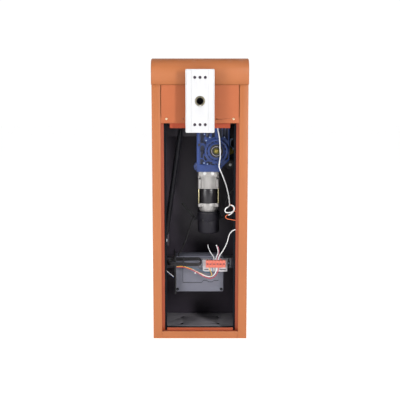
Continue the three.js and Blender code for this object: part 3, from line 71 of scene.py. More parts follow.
lens = bpy.data.cameras.new("lens")
lens.lens = LENS_MM
lens.sensor_width = 36
camera = bpy.data.objects.new("camera", lens)
camera.location = (0, -LENS_DISTANCE, LENS_HEIGHT)
camera.rotation_euler = (math.pi / 2 - LENS_PITCH, 0, 0)
bpy.context.scene.collection.objects.link(camera)
bpy.context.scene.camera = camera


def soft_box(name, place, aim, size, power):
    light = bpy.data.lights.new(name, "AREA")
    light.shape = "RECTANGLE"
    light.size, light.size_y = size
    light.energy = power
    box = bpy.data.objects.new(name, light)
    box.location = place
    box.rotation_euler = (Vector(aim) - Vector(place)).to_track_quat("-Z", "Y").to_euler()
    bpy.context.scene.collection.objects.link(box)


soft_box("soft_box_right", (1.75, -2.6, 1.35), (0, -0.15, 0.62), (0.40, 1.2), 62)
soft_box("soft_box_left", (-2.1, -2.3, 0.95), (0, -0.15, 0.62), (0.95, 1.2), 46)
soft_box("soft_box_over", (0, -1.2, 2.9), (0, 0, 0.6), (1.6, 1.2), 10)
bpy.context.scene.view_settings.view_transform = "Standard"


class Mark:
    """A shader socket that can be added, scaled and compared like a number."""

    def __init__(self, tree, socket):
        self.tree = tree
        self.socket = socket

    def node(self, kind, settings, values, output=0):
        """Adds a node: its settings first, then the values or links of its sockets."""
        made = self.tree.nodes.new("ShaderNode" + kind)
        for name, value in settings.items():
            if name == "stops":
                set_stops(made.color_ramp, value)
            else:
                setattr(made, name, value)
        for name, value in values.items():
            plug(self.tree, made.inputs[name], value)
        return Mark(self.tree, made.outputs[output])

    def maths(self, operation, a, b):
        return self.node("Math", {"operation": operation}, {0: a, 1: b})

    def __add__(self, other):
        return self.maths("ADD", self, other)

    def __sub__(self, other):
        return self.maths("SUBTRACT", self, other)

    def __rsub__(self, other):
        return self.maths("SUBTRACT", other, self)

    def __mul__(self, other):
        return self.maths("MULTIPLY", self, other)

    __radd__ = __add__
    __rmul__ = __mul__

    def unsigned(self):
        return self.maths("ABSOLUTE", self, 0)

    def ramp(self, low, high):
        """0 below low, 1 above high, and a soft step between."""
        values = {"Value": self, "From Min": low, "From Max": high}
        return self.node("MapRange", {"interpolation_type": "SMOOTHSTEP"}, values)

    def tint(self, where_0, where_1):
        """A colour that goes from one to another with this mark."""
        return self.node("Mix", {"data_type": "RGBA"}, {0: self, 6: where_0, 7: where_1}, output=2)

    def noise(self, scale, detail=3, roughness=0.55):
        values = {"Vector": self, "Scale": scale, "Detail": detail, "Roughness": roughness}
        return self.node("TexNoise", {}, values)

    def stretched(self, x, y, z):
        return self.node("VectorMath", {"operation": "MULTIPLY"}, {0: self, 1: (x, y, z)})

    def part(self, axis):
        return self.node("SeparateXYZ", {}, {0: self}, output=axis)


def plug(tree, socket, value):
    if isinstance(value, Mark):
        tree.links.new(value.socket, socket)
    elif socket.type == "RGBA" and len(value) == 3:
        socket.default_value = (*value, 1)
    else:
        socket.default_value = value


def set_stops(ramp, stops):
    while len(ramp.elements) < len(stops):
        ramp.elements.new(0.5)
    for element, (place, colour) in zip(ramp.elements, stops):
        element.position = place
        element.color = (*colour, 1)


def new_finish(name):
    """A material, and the place on the piece in metres as its first mark."""
    material = bpy.data.materials.new(name)
    material.use_nodes = True
    tree = material.node_tree
    coordinates = tree.nodes.new("ShaderNodeTexCoord")
    return material, Mark(tree, coordinates.outputs["Object"])


def coat(material, place, colour, roughness, metallic=0.0, height=None, depth=0.0, **fixed):
    """Feeds the shader. Height is a mark from 0 to 1 that stands out by depth, in metres."""
    shader = material.node_tree.nodes["Principled BSDF"]
    plug(place.tree, shader.inputs["Base Color"], colour)
    plug(place.tree, shader.inputs["Roughness"], roughness)
    plug(place.tree, shader.inputs["Metallic"], metallic)
    if height is not None:
        bump = place.node("Bump", {}, {"Strength": 1, "Distance": depth, "Height": height})
        plug(place.tree, shader.inputs["Normal"], bump)
    for name, value in fixed.items():
        shader.inputs[name.replace("_", " ")].default_value = value
    return material


surround = bpy.data.worlds.new("surround")
surround.use_nodes = True
bpy.context.scene.world = surround
sky = surround.node_tree
ahead = Mark(sky, sky.nodes.new("ShaderNodeTexCoord").outputs["Generated"]).part(1)
plug(sky, sky.nodes["Background"].inputs["Strength"], ahead.ramp(0.5, 0.85) * 0.78 + 0.27)
sky.nodes["Background"].inputs["Color"].default_value = (1, 1, 1, 1)

floor_finish, at = new_finish("studio_floor")
FLOOR_Y = 4
# Painted shadow: under the cabinet's footprint the floor's colour and glow are painted black.
cabinet_floor_shadow = at.part(0).unsigned().ramp(0.165, 0.155) * (at.part(1) + FLOOR_Y).unsigned().ramp(0.145, 0.135)
open_floor = at.noise(3).tint((0.84, 0.84, 0.84), (0.88, 0.88, 0.88))
coat(floor_finish, at, cabinet_floor_shadow.tint(open_floor, (0.01, 0.01, 0.01)), 0.8, Emission_Strength=0.66)
floor_glow = floor_finish.node_tree.nodes["Principled BSDF"].inputs["Emission Color"]
plug(at.tree, floor_glow, cabinet_floor_shadow.tint((1, 1, 1), (0, 0, 0)))
bpy.ops.mesh.primitive_plane_add(size=24, location=(0, FLOOR_Y, -0.0004))
floor = bpy.context.object
floor.name = "studio_floor"
floor.data.materials.append(floor_finish)

# ---- Cabinet shell ----
# Two walls, a back and two front stiles folded from 2 mm sheet steel, with a rebate for the door.
# It is powder coated orange inside and out, over a fine orange-peel texture.

MM = 0.001
BODY_OF = {node: body for body, nodes in frame["record"]["behaviour"]["bodies"].items() for node in nodes}
EDGE = 0.6 * MM
SET_BACK = (-0.1488, -0.1475)  # the depths between which a face lies behind the stiles
# Painted shade: the share of each channel kept on faces set back round the opening.
REBATE_SHADE_TONE = (0.90, 0.46, 0.28)


def paint_chip(red, green, blue):
    """A colour as read off a paint chip, 0 to 255, turned to light."""
    shares = [c / 255 for c in (red, green, blue)]
    return tuple(((c + 0.055) / 1.055) ** 2.4 if c > 0.04 else c / 12.92 for c in shares)


def lighter(colour, share):
    return tuple(min(1, c * share) for c in colour)


def facing(place):
    """The way the surface faces on its own piece."""
    coordinates = next(n for n in place.tree.nodes if n.type == "TEX_COORD")
    return Mark(place.tree, coordinates.outputs["Normal"])


def powder_coat(
    name,
    colour,
    gloss=0.45,
    peel=0.00005,
    dust=0.0,
    dust_colour=(0.5, 0.47, 0.44),
    recess=None,
    shade_below=None,
    **fixed,
):
    """Sprayed and baked powder: an orange-peel skin, faint clouding and settled dust where it faces up.

    Round the opening, behind the depths of recess, it is painted redder and darker as painted shade, and
    below the height given for the lower edge it is painted near black as painted shade.
    """
    material, at = new_finish(name)
    cloud = at.noise(5, 2).ramp(0.3, 0.7)
    speck = at.noise(420, 2).ramp(0.35, 0.75)
    base = (cloud * 0.7 + speck * 0.3).tint(lighter(colour, 0.95), lighter(colour, 1.04))
    if recess:
        # Painted shade: faces set back round the opening are painted darker and redder.
        behind = at.part(1).ramp(*recess) * at.part(1).ramp(-0.120, -0.128)
        inside = at.part(0).unsigned().ramp(0.166, 0.160)
        painted_rebate_shade = tuple(c * share for c, share in zip(colour, REBATE_SHADE_TONE))
        base = (behind * inside).tint(base, painted_rebate_shade)
    if shade_below:
        # Painted shade: near black below the given height.
        base = at.part(2).ramp(shade_below, shade_below - 0.0007).tint(base, (0.006, 0.007, 0.010))
    up = facing(at).part(2).ramp(0.5, 1.0)
    settled = up * at.noise(38, 4).ramp(0.25, 0.8) * dust
    skin = at.noise(650, 2, 0.4)
    colours = settled.tint(base, dust_colour)
    rough = gloss + 0.10 * cloud + 0.3 * settled
    return coat(material, at, colours, rough, 0.0, skin, peel, **fixed)


def link(name, mesh, body, finish):
    """A new piece from a mesh, riding on a body and given its finish."""
    piece = bpy.data.objects.new(name, mesh)
    bpy.context.scene.collection.objects.link(piece)
    if finish:
        mesh.materials.clear()
        mesh.materials.append(finish)
    if body:
        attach(piece, body)
    return piece


def smooth_by_angle(mesh, degrees=32):
    mesh.shade_smooth()
    mesh.set_sharp_from_angle(angle=math.radians(degrees))


def eased(node, finish, edge=EDGE, steps=2, name=None, cuts=(), body=None):
    """The CAD piece with its arrises broken: cuts made, then every sharp edge rounded."""
    source = frame["nodes"][node]
    mesh = source.data.copy()
    mesh.transform(source.matrix_world)
    if cuts:
        mesh = carve(mesh, cuts)
    work = bmesh.new()
    work.from_mesh(mesh)
    bmesh.ops.remove_doubles(work, verts=work.verts, dist=2e-5)
    bmesh.ops.dissolve_limit(work, angle_limit=math.radians(0.6), verts=work.verts, edges=work.edges)
    sharp = [e for e in work.edges if len(e.link_faces) == 2 and e.calc_face_angle() > math.radians(38)]
    bmesh.ops.bevel(
        work,
        geom=sharp,
        offset=edge,
        offset_type="OFFSET",
        segments=steps,
        profile=0.5,
        affect="EDGES",
        clamp_overlap=False,
    )
    work.to_mesh(mesh)
    work.free()
    smooth_by_angle(mesh)
    piece = link(name or node + "_piece", mesh, body or BODY_OF[node], finish)
    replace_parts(piece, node)
    return piece


def combined(meshes):
    work = bmesh.new()
    for mesh in meshes:
        work.from_mesh(mesh)
    mesh = bpy.data.meshes.new("combined")
    work.to_mesh(mesh)
    work.free()
    return mesh


def carve(mesh, tools):
    """Takes closed tool meshes out of a mesh."""
    piece = bpy.data.objects.new("blank", mesh)
    tool = bpy.data.objects.new("tool", combined(tools))
    for made in (piece, tool):
        bpy.context.scene.collection.objects.link(made)
    knife = piece.modifiers.new("knife", "BOOLEAN")
    knife.operation = "DIFFERENCE"
    knife.object = tool
    knife.use_self = True
    bpy.context.view_layer.update()
    result = bpy.data.meshes.new_from_object(piece.evaluated_get(bpy.context.evaluated_depsgraph_get()))
    for made in (piece, tool):
        bpy.data.objects.remove(made)
    return result


ORANGE = paint_chip(166, 96, 50)
# The rebate round the door opening is painted darker and redder as painted shade.
shell_coat = powder_coat("orange_shell_coat", ORANGE, dust=0.15, recess=SET_BACK)
eased("cabinet_shell", shell_coat)

# ---- Bottom rail ----
# A folded sill of the same orange sheet steel, spot welded between the stiles. Its back edge is turned
# up as a stop for the door.

eased("bottom_rail", shell_coat)

# ---- Front panel ----
# The fixed panel that the boom shaft comes through, of folded and powder-coated sheet. Two pan-head
# screws at its foot hold it to the stiles.

# Its set-back edge faces are painted darker and redder as painted shade.
panel_coat = powder_coat("orange_panel_coat", paint_chip(166, 87, 45), dust=0.1, recess=SET_BACK)
front_panel = eased("front_panel", panel_coat)
front_panel.data.shade_flat()


def prism(outline, near, far):
    """A closed prism from an outline of (x, z) in millimetres, between two depths along Y."""
    mesh = bpy.data.meshes.new("prism")
    work = bmesh.new()
    front = [work.verts.new((x * MM, near * MM, z * MM)) for x, z in outline]
    back = [work.verts.new((x * MM, far * MM, z * MM)) for x, z in outline]
    work.faces.new(front)
    work.faces.new(back[::-1])
    for i in range(len(front)):
        j = (i + 1) % len(front)
        work.faces.new((front[i], back[i], back[j], front[j]))
    bmesh.ops.recalc_face_normals(work, faces=work.faces)
    work.to_mesh(mesh)
    work.free()
    return mesh


def lathe(profile, steps=24):
    """A turned mesh about +Z from (radius, height) pairs, in metres."""
    mesh = bpy.data.meshes.new("turned")
    work = bmesh.new()
    rings = []
    for radius, height in profile:
        if radius < 1e-9:
            rings.append([work.verts.new((0, 0, height))])
            continue
        turn = [2 * math.pi * i / steps for i in range(steps)]
        rings.append([work.verts.new((radius * math.cos(a), radius * math.sin(a), height)) for a in turn])
    for low, high in zip(rings, rings[1:]):
        for i in range(steps):
            j = i + 1
            corners = [low[i % len(low)], low[j % len(low)], high[j % len(high)], high[i % len(high)]]
            around = list(dict.fromkeys(corners))
            if len(around) > 2:
                work.faces.new(around)
    bmesh.ops.recalc_face_normals(work, faces=work.faces)
    work.to_mesh(mesh)
    work.free()
    return mesh


def turned(profile, steps=24):
    """The same from pairs in millimetres."""
    return lathe([(r * MM, h * MM) for r, h in profile], steps)


def stand(mesh, place, towards=(0, -1, 0), turn=0.0):
    """Moves a mesh made about +Z to a place, pointing another way."""
    aim = Vector(towards).to_track_quat("Z", "Y").to_matrix().to_4x4()
    mesh.transform(Matrix.Translation(Vector(place)) @ aim @ Matrix.Rotation(turn, 4, "Z"))
    return mesh


def joined(name, meshes, body, finish):
    """Several meshes as one piece."""
    mesh = combined(meshes)
    smooth_by_angle(mesh)
    return link(name, mesh, body, finish)


def cross_head(radius, height):
    """A pan-head screw with a cross recess, standing on z = 0."""
    dome = [(0, 0), (radius, 0), (radius, height * 0.35)]
    for i in range(1, 6):
        angle = i / 6 * math.pi / 2
        dome.append((radius * math.cos(angle), height * (0.35 + 0.65 * math.sin(angle))))
    dome.append((0, height))
    long, wide, deep = radius * 0.58, radius * 0.13, height * 0.55
    tools = []
    for half, thick in ((long / MM, wide / MM), (wide / MM, long / MM)):
        foot = -deep / MM
        blade = prism([(-half, foot), (half, foot), (half, 1), (-half, 1)], -thick, thick)
        blade.transform(Matrix.Translation((0, 0, height)))
        tools.append(blade)
    return carve(lathe(dome), tools)


def bright_zinc(name, colour=(0.62, 0.61, 0.58), rough=0.32):
    """Electroplated zinc on steel: soft blotches and fine draw marks."""
    material, at = new_finish(name)
    blotch = at.noise(260, 3).ramp(0.3, 0.7)
    lines = at.stretched(1, 1, 14).noise(500, 2)
    tone = blotch.tint(lighter(colour, 0.82), colour)
    return coat(material, at, tone, rough + 0.16 * blotch, 0.9, lines, 0.00002)


screw_zinc = bright_zinc("screw_zinc", (0.78, 0.66, 0.46))
SCREW_X = 0.118
SCREW_Z = 0.801
screw_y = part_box("front_panel")[0][1] - 0.0002
screws = [stand(cross_head(0.0040, 0.0028), (s * SCREW_X, screw_y, SCREW_Z), turn=0.6) for s in (-1, 1)]
joined("panel_screws", screws, "cabinet", screw_zinc)

# ---- Hood ----
# A pressed and welded lid that drops over the cabinet: its front and back edges are rolled to a wide
# radius and its ends are turned down with a small one.

HOOD_WALL = 0.002
HOOD_ROLL = 0.042
HOOD_END = 0.005


def hood_mesh():
    low, high = (Vector(corner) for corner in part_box("hood"))
    work = bmesh.new()
    bmesh.ops.create_cube(work, size=1)
    block = Matrix.Translation((low + high) / 2) @ Matrix.Diagonal((*(high - low), 1))
    bmesh.ops.transform(work, matrix=block, verts=work.verts)
    bottom = [f for f in work.faces if f.normal.z < -0.9]
    bmesh.ops.delete(work, geom=bottom, context="FACES")
    top = [e for e in work.edges if all(abs(v.co.z - high.z) < 1e-6 for v in e.verts)]
    rolled = [e for e in top if abs(e.verts[0].co.y - e.verts[1].co.y) < 1e-6]
    bmesh.ops.bevel(work, geom=rolled, offset=HOOD_ROLL, segments=14, profile=0.5, affect="EDGES")
    folds = [e for e in work.edges if len(e.link_faces) == 2 and e.calc_face_angle() > 0.5]
    ends = [e for e in folds if sum(abs(face.normal.x) for face in e.link_faces) > 0.9]
    bmesh.ops.bevel(work, geom=ends, offset=HOOD_END, segments=4, profile=0.5, affect="EDGES")
    mesh = bpy.data.meshes.new("hood_piece")
    work.to_mesh(mesh)
    work.free()
    return mesh


hood_coat = powder_coat("orange_powder_coat", ORANGE, dust=0.15)
hood = link("hood_piece", hood_mesh(), "cabinet", hood_coat)
walls = hood.modifiers.new("walls", "SOLIDIFY")
walls.thickness = HOOD_WALL
walls.offset = -1
smooth_by_angle(hood.data, 50)
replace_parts(hood, "hood")

# ---- Chassis ----
# The inner frame: two channel sides, a back panel and cross members of folded sheet steel, bolted
# together and sprayed matt black.

CHASSIS_BLACK = paint_chip(62, 56, 66)
chassis_coat = powder_coat("chassis_black_coat", CHASSIS_BLACK, 0.42, 0.00004, 0.3, (0.10, 0.095, 0.09))
# The chassis sides are a darker copy of the chassis black: painted shade for sides that stand in shade
# behind the stiles.
SHADED_SIDE_BLACK = (0.0035, 0.0065, 0.0105)
SHADED_SIDE_DUST = (0.04, 0.04, 0.045)
dull = {"Specular_IOR_Level": 0.12}
shaded_side_coat = powder_coat("chassis_side_coat", SHADED_SIDE_BLACK, 0.6, 0.00004, 0.1, SHADED_SIDE_DUST, **dull)
for node in ("back_panel", "front_bridge", "gearbox_beam", "anchor_bracket"):
    eased(node, chassis_coat)
for node in ("chassis_side_left", "chassis_side_right"):
    eased(node, shaded_side_coat)

# ---- Base plate ----
# The folded steel foot that is bolted to the ground through four slots. It is painted, grey with
# settled dust, and painted near black along its lower edge as painted shade.

BASE_GREY = paint_chip(118, 114, 122)
BASE_DUST = (0.30, 0.29, 0.30)
# Its turned-down front wall, below 19.4 mm, is painted near black as painted shade.
base_coat = powder_coat("base_grey_coat", BASE_GREY, 0.5, 0.00004, 0.6, BASE_DUST, shade_below=0.0194)
eased("base_plate", base_coat)

# ---- Cross shelf ----
# A folded steel angle screwed between the chassis sides, which carries the control box and the
# mounting rail. It is sprayed grey.

SHELF_GREY = paint_chip(104, 100, 110)
shelf_coat = powder_coat("shelf_grey_coat", SHELF_GREY, 0.44, 0.00003, 0.3, (0.17, 0.165, 0.165))
eased("cross_shelf", shelf_coat)

# ---- Bearings and buffers ----
# Cast flange bearings for the boom shaft, bolted to the panel and to the bridge behind it, and two
# moulded rubber buffers that its lever tail meets at the ends of its travel.

cast_steel = bright_zinc("bearing_zinc")
for node in ("front_bearing", "rear_bearing"):
    eased(node, cast_steel)


def moulded_rubber(name, colour=(0.022, 0.022, 0.024), rough=0.62):
    """Black rubber with a faint bloom and the grain of its mould."""
    material, at = new_finish(name)
    bloom = at.noise(90, 4).ramp(0.35, 0.8)
    tone = bloom.tint(colour, lighter(colour, 1.7))
    return coat(material, at, tone, rough + 0.15 * bloom, 0.0, at.noise(1800, 2), 0.00003)


black_rubber = moulded_rubber("black_rubber")
for node in ("buffer_open", "buffer_closed"):
    eased(node, black_rubber, 1.5 * MM, 3)

# ---- Gearbox ----
# A right-angle worm box: a cast aluminium housing in blue enamel with cored pockets between its ribs,
# a round boss for the hollow output, machined bolt pads, and a bolted back cover.

GEARBOX_BLUE = paint_chip(27, 54, 114)
GEARBOX_FACE = -45
OUTPUT_X = 60
OUTPUT_Z = 680
BOSS_POCKETS = 14
BOSS_OUTER = 36.4
BOSS_INNER = 31.8


def round_outline(x, z, radius, steps=24, start=0.0, turn=2 * math.pi):
    """Points of (x, z) in millimetres round an arc."""
    angles = [start + turn * i / steps for i in range(steps)]
    return [(x + radius * math.cos(angle), z + radius * math.sin(angle)) for angle in angles]


def cast_enamel(name, colour, hollow_shade_depth, grain=0.00014):
    """Enamel over a sand casting: a rounded grain, painted shade in the hollows, paler where it is worn.
    """
    material, at = new_finish(name)
    grit = at.noise(320, 3, 0.6)
    cloud = at.noise(28, 3).ramp(0.3, 0.7)
    base = cloud.tint(lighter(colour, 0.78), lighter(colour, 1.1))
    worn = grit.ramp(0.62, 0.72) * 0.3
    # Painted shade: faces set back into the casting's hollows are painted dark.
    hollow = at.part(1).ramp(*hollow_shade_depth) * at.part(1).ramp(-0.036, -0.0375)
    hollow_shaded = hollow.tint(worn.tint(base, lighter(colour, 1.8)), lighter(colour, 0.16))
    return coat(material, at, hollow_shaded, 0.32 + 0.2 * grit, 0.0, grit, grain)


blue_enamel = cast_enamel("blue_enamel", GEARBOX_BLUE, (-0.0445, -0.0415))
POCKETS = [
    [(1, 771), (21, 771), (21, 738), (12, 722), (1, 713)],
    [(24, 771), (40, 771), (40, 746), (28, 729), (24, 733)],
    [(43, 771), (55, 771), (55, 731), (43, 728)],
    [(17, 722), (24, 716), (21, 704), (14, 708)],
    [(1, 694), (12, 694), (12, 684), (5, 680), (1, 680)],
    [(15, 692), (20, 692), (17, 670), (13, 672)],
    [(2, 676), (11, 676), (11, 654), (2, 654)],
    [(14, 664), (19, 660), (27, 648), (22, 643), (14, 650)],
    [(1, 650), (10, 650), (18, 640), (18, 630), (1, 630)],
    [(22, 639), (30, 642), (38, 635), (38, 629), (22, 629)],
    [(42, 634), (54, 631), (54, 627), (42, 627)],
    [(66, 631), (78, 634), (78, 627), (66, 627)],
    [(71, 771), (80, 771), (80, 735), (76, 728), (71, 730)],
    [(84, 771), (92, 771), (92, 727), (84, 732)],
    [(96, 771), (104, 771), (104, 716), (96, 724)],
    [(99, 709), (104, 702), (104, 692), (102, 692)],
    [(102, 668), (104, 668), (104, 652), (97, 645), (94, 650)],
]


def boss_pockets():
    """The cored pockets in a ring round the boss, with a web between each."""
    rings = []
    for i in range(BOSS_POCKETS):
        start = (i + 0.16) * 2 * math.pi / BOSS_POCKETS
        turn = 0.68 * 2 * math.pi / BOSS_POCKETS
        outer = round_outline(OUTPUT_X, OUTPUT_Z, BOSS_OUTER, 5, start, turn * 1.25)
        inner = round_outline(OUTPUT_X, OUTPUT_Z, BOSS_INNER, 5, start, turn * 1.25)
        rings.append(prism(outer + inner[::-1], GEARBOX_FACE - 12, GEARBOX_FACE + 2))
    return rings


pocket_tools = [prism(outline, GEARBOX_FACE - 3, GEARBOX_FACE + 6) for outline in POCKETS]
eased("gearbox_housing", blue_enamel, 0.45 * MM, 2, cuts=pocket_tools + boss_pockets())
eased("gearbox_cover", blue_enamel, 1.1 * MM, 2)


def hex_head(radius, height):
    """A hexagon bolt head with a turned chamfer and its washer, standing on z = 0."""
    head = lathe([(0, 0), (radius, 0), (radius, height * 0.85), (radius * 0.86, height), (0, height)], 6)
    washer = lathe([(0, 0), (radius * 1.25, 0), (radius * 1.25, height * 0.2), (0, height * 0.2)], 20)
    return combined([washer, head])


PADS = [(36, 730, 4.6), (22.6, 718, 4.4), (16.5, 741, 4.2)]
PADS += [(90, 730, 3.4), (14.8, 635.5, 5.0), (27, 631.5, 4.2)]
PAD_FACE = GEARBOX_FACE - 1.2
pads = [prism(round_outline(x, z, radius, 20), PAD_FACE, GEARBOX_FACE + 6.2) for x, z, radius in PADS]
joined("gearbox_bolt_pads", pads, "cabinet", blue_enamel)
pale_steel = bright_zinc("pale_steel", (0.36, 0.44, 0.60), 0.4)
bolts = [
    stand(hex_head(radius * 0.42 * MM, 2.4 * MM), (x * MM, PAD_FACE * MM, z * MM), turn=x)
    for x, z, radius in PADS
]
joined("gearbox_bolts", bolts, "cabinet", pale_steel)
rim = [(4.6, 0), (7.0, 0), (7.0, 0.8), (6.4, 1.5), (5.2, 1.5), (4.6, 0.9), (4.6, 0)]
stopper = [(0, 0), (4.6, 0), (4.6, 0.7), (3.7, 1.0), (3.4, 0.4), (0, 0.4)]
breather_rim = stand(turned(rim), (-0.0029, -0.0489, 0.7028))
breather_plug = stand(turned(stopper), (-0.0029, -0.0490, 0.7028))
joined("gearbox_breather_rim", [breather_rim], "cabinet", blue_enamel)
joined("gearbox_breather_plug", [breather_plug], "cabinet", black_rubber)

# ---- Output seal ----
# A lipped oil seal of moulded black rubber, pressed in the boss round the hollow shaft to keep the oil
# in and the dust out.

SEAL_LIP = [(20.0, 0), (23.1, 0), (23.1, 9.2), (24.6, 9.6), (24.6, 10.4)]
SEAL_LIP += [(21.6, 10.6), (21.0, 9.4), (20.0, 8.8), (20.0, 0)]
seal = stand(turned(SEAL_LIP, 40), (OUTPUT_X * MM, -0.0445, OUTPUT_Z * MM))
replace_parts(joined("output_seal_piece", [seal], "cabinet", black_rubber), "output_seal")

# ---- Wheel, worm and output shaft ----
# A bronze wheel on a hollow steel shaft, closed by a rubber cap disc behind a bright circlip, with the
# yellow-passivated output shaft through it.

oiled_steel = bright_zinc("oiled_steel", (0.03, 0.03, 0.036), 0.5)
eased("worm_wheel", oiled_steel, 0.25 * MM)
eased("worm_shaft", cast_steel, 0.3 * MM)
cap = [(11.9, 0), (18.6, 0), (18.6, 0.5), (11.9, 0.9), (11.9, 0)]
clip = [(16.7, 0.4), (18.2, 0.4), (18.2, 1.4), (18.0, 1.6), (16.9, 1.6), (16.7, 1.4), (16.7, 0.4)]
hub_face = (OUTPUT_X * MM, -0.0552, OUTPUT_Z * MM)
joined("output_cap_disc", [stand(turned(cap, 40), hub_face)], "crank", black_rubber)
bright_clip = bright_zinc("circlip_steel", (0.46, 0.43, 0.44), 0.48)
joined("output_circlip", [stand(turned(clip, 40), hub_face)], "crank", bright_clip)


def yellow_passivate(name, tone=(0.36, 0.27, 0.07), bore_axis=None):
    """Yellow-passivated zinc: gold that drifts to green and pink, and painted shade, near black, inside a
    bore.
    """
    material, at = new_finish(name)
    drift = at.noise(70, 2)
    greener = (tone[0] * 0.7, tone[1] * 0.82, tone[2])
    stops = [(0.30, lighter(tone, 0.62)), (0.5, tone), (0.7, greener)]
    colours = drift.node("ValToRGB", {"stops": stops}, {0: drift})
    metal = 0.8
    if bore_axis:
        flat = at.node("VectorMath", {"operation": "MULTIPLY_ADD"}, {0: at, 1: (1, 0, 1), 2: bore_axis})
        out = flat.node("VectorMath", {"operation": "LENGTH"}, {0: flat}, output=1)
        # Painted shade inside the bore: near black and less metallic.
        inside = out.ramp(0.0126, 0.0121)
        colours = inside.tint(colours, (0.012, 0.010, 0.012))
        metal = 0.55 - 0.5 * inside
    rough = 0.28 + 0.2 * at.noise(240, 3)
    return coat(material, at, colours, rough, metal, at.stretched(1, 10, 1).noise(260, 2), 0.00002)


gold_zinc = yellow_passivate("yellow_zinc")
eased("output_shaft", yellow_passivate("output_shaft_zinc", (0.20, 0.18, 0.05)), 0.9 * MM)
centre = stand(cross_head(0.0052, 0.0022), (OUTPUT_X * MM, -0.0519, OUTPUT_Z * MM), turn=0.4)
joined("output_shaft_centre", [centre], "crank", gold_zinc)

# ---- Motor ----
# Two bare cast aluminium bells clamp a black enamelled stator between them, held by long tie rods whose
# heads sit in notches at the corners of the flange.

MOTOR_X = 31.8
MOTOR_HALF = 39.5


def bar(x, z, half_wide, half_tall):
    """An upright rectangle as an outline of (x, z)."""
    left, right = x - half_wide, x + half_wide
    low, high = z - half_tall, z + half_tall
    return [(left, low), (right, low), (right, high), (left, high)]


def bare_casting(name, colour=(0.39, 0.375, 0.365)):
    """Bead-blasted aluminium casting: a fine soft grain with greyer handled patches."""
    material, at = new_finish(name)
    grit = at.noise(700, 3, 0.6)
    cloud = at.noise(40, 3).ramp(0.3, 0.75)
    tone = cloud.tint(colour, lighter(colour, 0.86))
    return coat(material, at, tone, 0.42 + 0.15 * grit, 0.5, grit, 0.00006)


aluminium = bare_casting("cast_aluminium")


def notches(z0, z1, reach):
    """Cutters for the corner notches of a motor bell, two in front and two behind."""
    tools = []
    for s in (-1, 1):
        x0, x1 = sorted((MOTOR_X + s * (MOTOR_HALF - reach), MOTOR_X + s * 44))
        outline = [(x0, z0), (x1, z0), (x1, z1), (x0, z1)]
        tools += [prism(outline, -48, -29.5), prism(outline, 29.5, 48)]
    return tools


def side_gaps(z0, z1):
    """Cutters for the narrow gap between each corner column and the round barrel."""
    tools = []
    for s in (-1, 1):
        outline = bar(MOTOR_X + s * 27.2, (z0 + z1) / 2, 1.5, (z1 - z0) / 2)
        tools += [prism(outline, -48, -25), prism(outline, 25, 48)]
    return tools


eased("motor_end_bell", aluminium, 0.6 * MM, cuts=notches(574, 585, 11) + side_gaps(541, 573.5))
eased("motor_rear_bell", aluminium, 0.6 * MM)
socket = [(0, 0), (3.4, 0), (3.4, 4), (3, 4.4), (1.8, 4.4), (1.8, 1.8), (0, 1.8)]
black_bolts = bright_zinc("black_bolt_steel", (0.05, 0.05, 0.055), 0.35)
corner_bolts = [
    stand(turned(socket, 16), ((MOTOR_X + sx * 34.2) * MM, sy * 0.0342, 0.5741), (0, 0, 1))
    for sx in (-1, 1)
    for sy in (-1, 1)
]
joined("motor_corner_bolts", corner_bolts, "cabinet", black_bolts)
polished = bright_zinc("polished_steel", (0.95, 0.95, 0.95), 0.3)
flange_screws = [
    stand(hex_head(0.0050, 0.0036), ((MOTOR_X + sx * 14.2) * MM, -0.0393, 0.5962), turn=0.5)
    for sx in (-1, 1)
]
joined("motor_flange_screws", flange_screws, "cabinet", polished)
tie_gold = bright_zinc("tie_rod_zinc", (0.70, 0.62, 0.36))
for node in ("tie_rod_left", "tie_rod_right"):
    eased(node, tie_gold, 0.2 * MM)
eased("motor_rotor", cast_steel, 0.3 * MM)


def black_enamel(name, colour=(0.0085, 0.0075, 0.010), rough=0.28, **fixed):
    """Satin black stove enamel, with lint and handling marks that show in its gloss."""
    material, at = new_finish(name)
    handled = at.noise(55, 4).ramp(0.3, 0.75)
    tone = handled.tint(colour, lighter(colour, 1.6))
    return coat(material, at, tone, rough + 0.2 * handled, 0.0, at.noise(900, 2), 0.00002, **fixed)


satin_black = black_enamel("satin_black")
eased("motor_stator", satin_black, 0.4 * MM)

# ---- Brake ----
# The spring-applied brake under the motor, in a black housing with a pressed cover, a plugged hole for
# setting its air gap, and a flat hand-release lever.

brake_black = black_enamel("brake_black", (0.009, 0.008, 0.012), 0.55, Specular_IOR_Level=0.28)
eased("brake_housing", brake_black, 0.8 * MM)
eased("brake_cover", brake_black, 0.8 * MM)
eased("brake_lever", black_enamel("lever_black", (0.004, 0.0035, 0.0045), 0.7), 0.5 * MM)
plug_ring = [(1.4, 0), (3.4, 0), (3.4, 1.6), (2.8, 2), (1.4, 2), (1.4, 0)]
gap_plug = stand(turned(plug_ring), (0.0118, -0.0361, 0.4200), (-0.48, -0.88, 0))
joined("brake_gap_plug", [gap_plug], "cabinet", black_rubber)
band = [(42.1, 0), (42.6, 0.3), (42.6, 2.7), (42.1, 3), (41.8, 3), (41.8, 0), (42.1, 0)]
clamp_band = stand(turned(band, 40), (MOTOR_X * MM, 0, 0.4440), (0, 0, 1))
joined("brake_clamp_band", [clamp_band], "cabinet", satin_black)

# ---- Crank, rod and lever ----
# Flame-cut plates, yellow passivated, with a black rod between their pins. The crank's bolt has a bright
# head on a broad black washer.

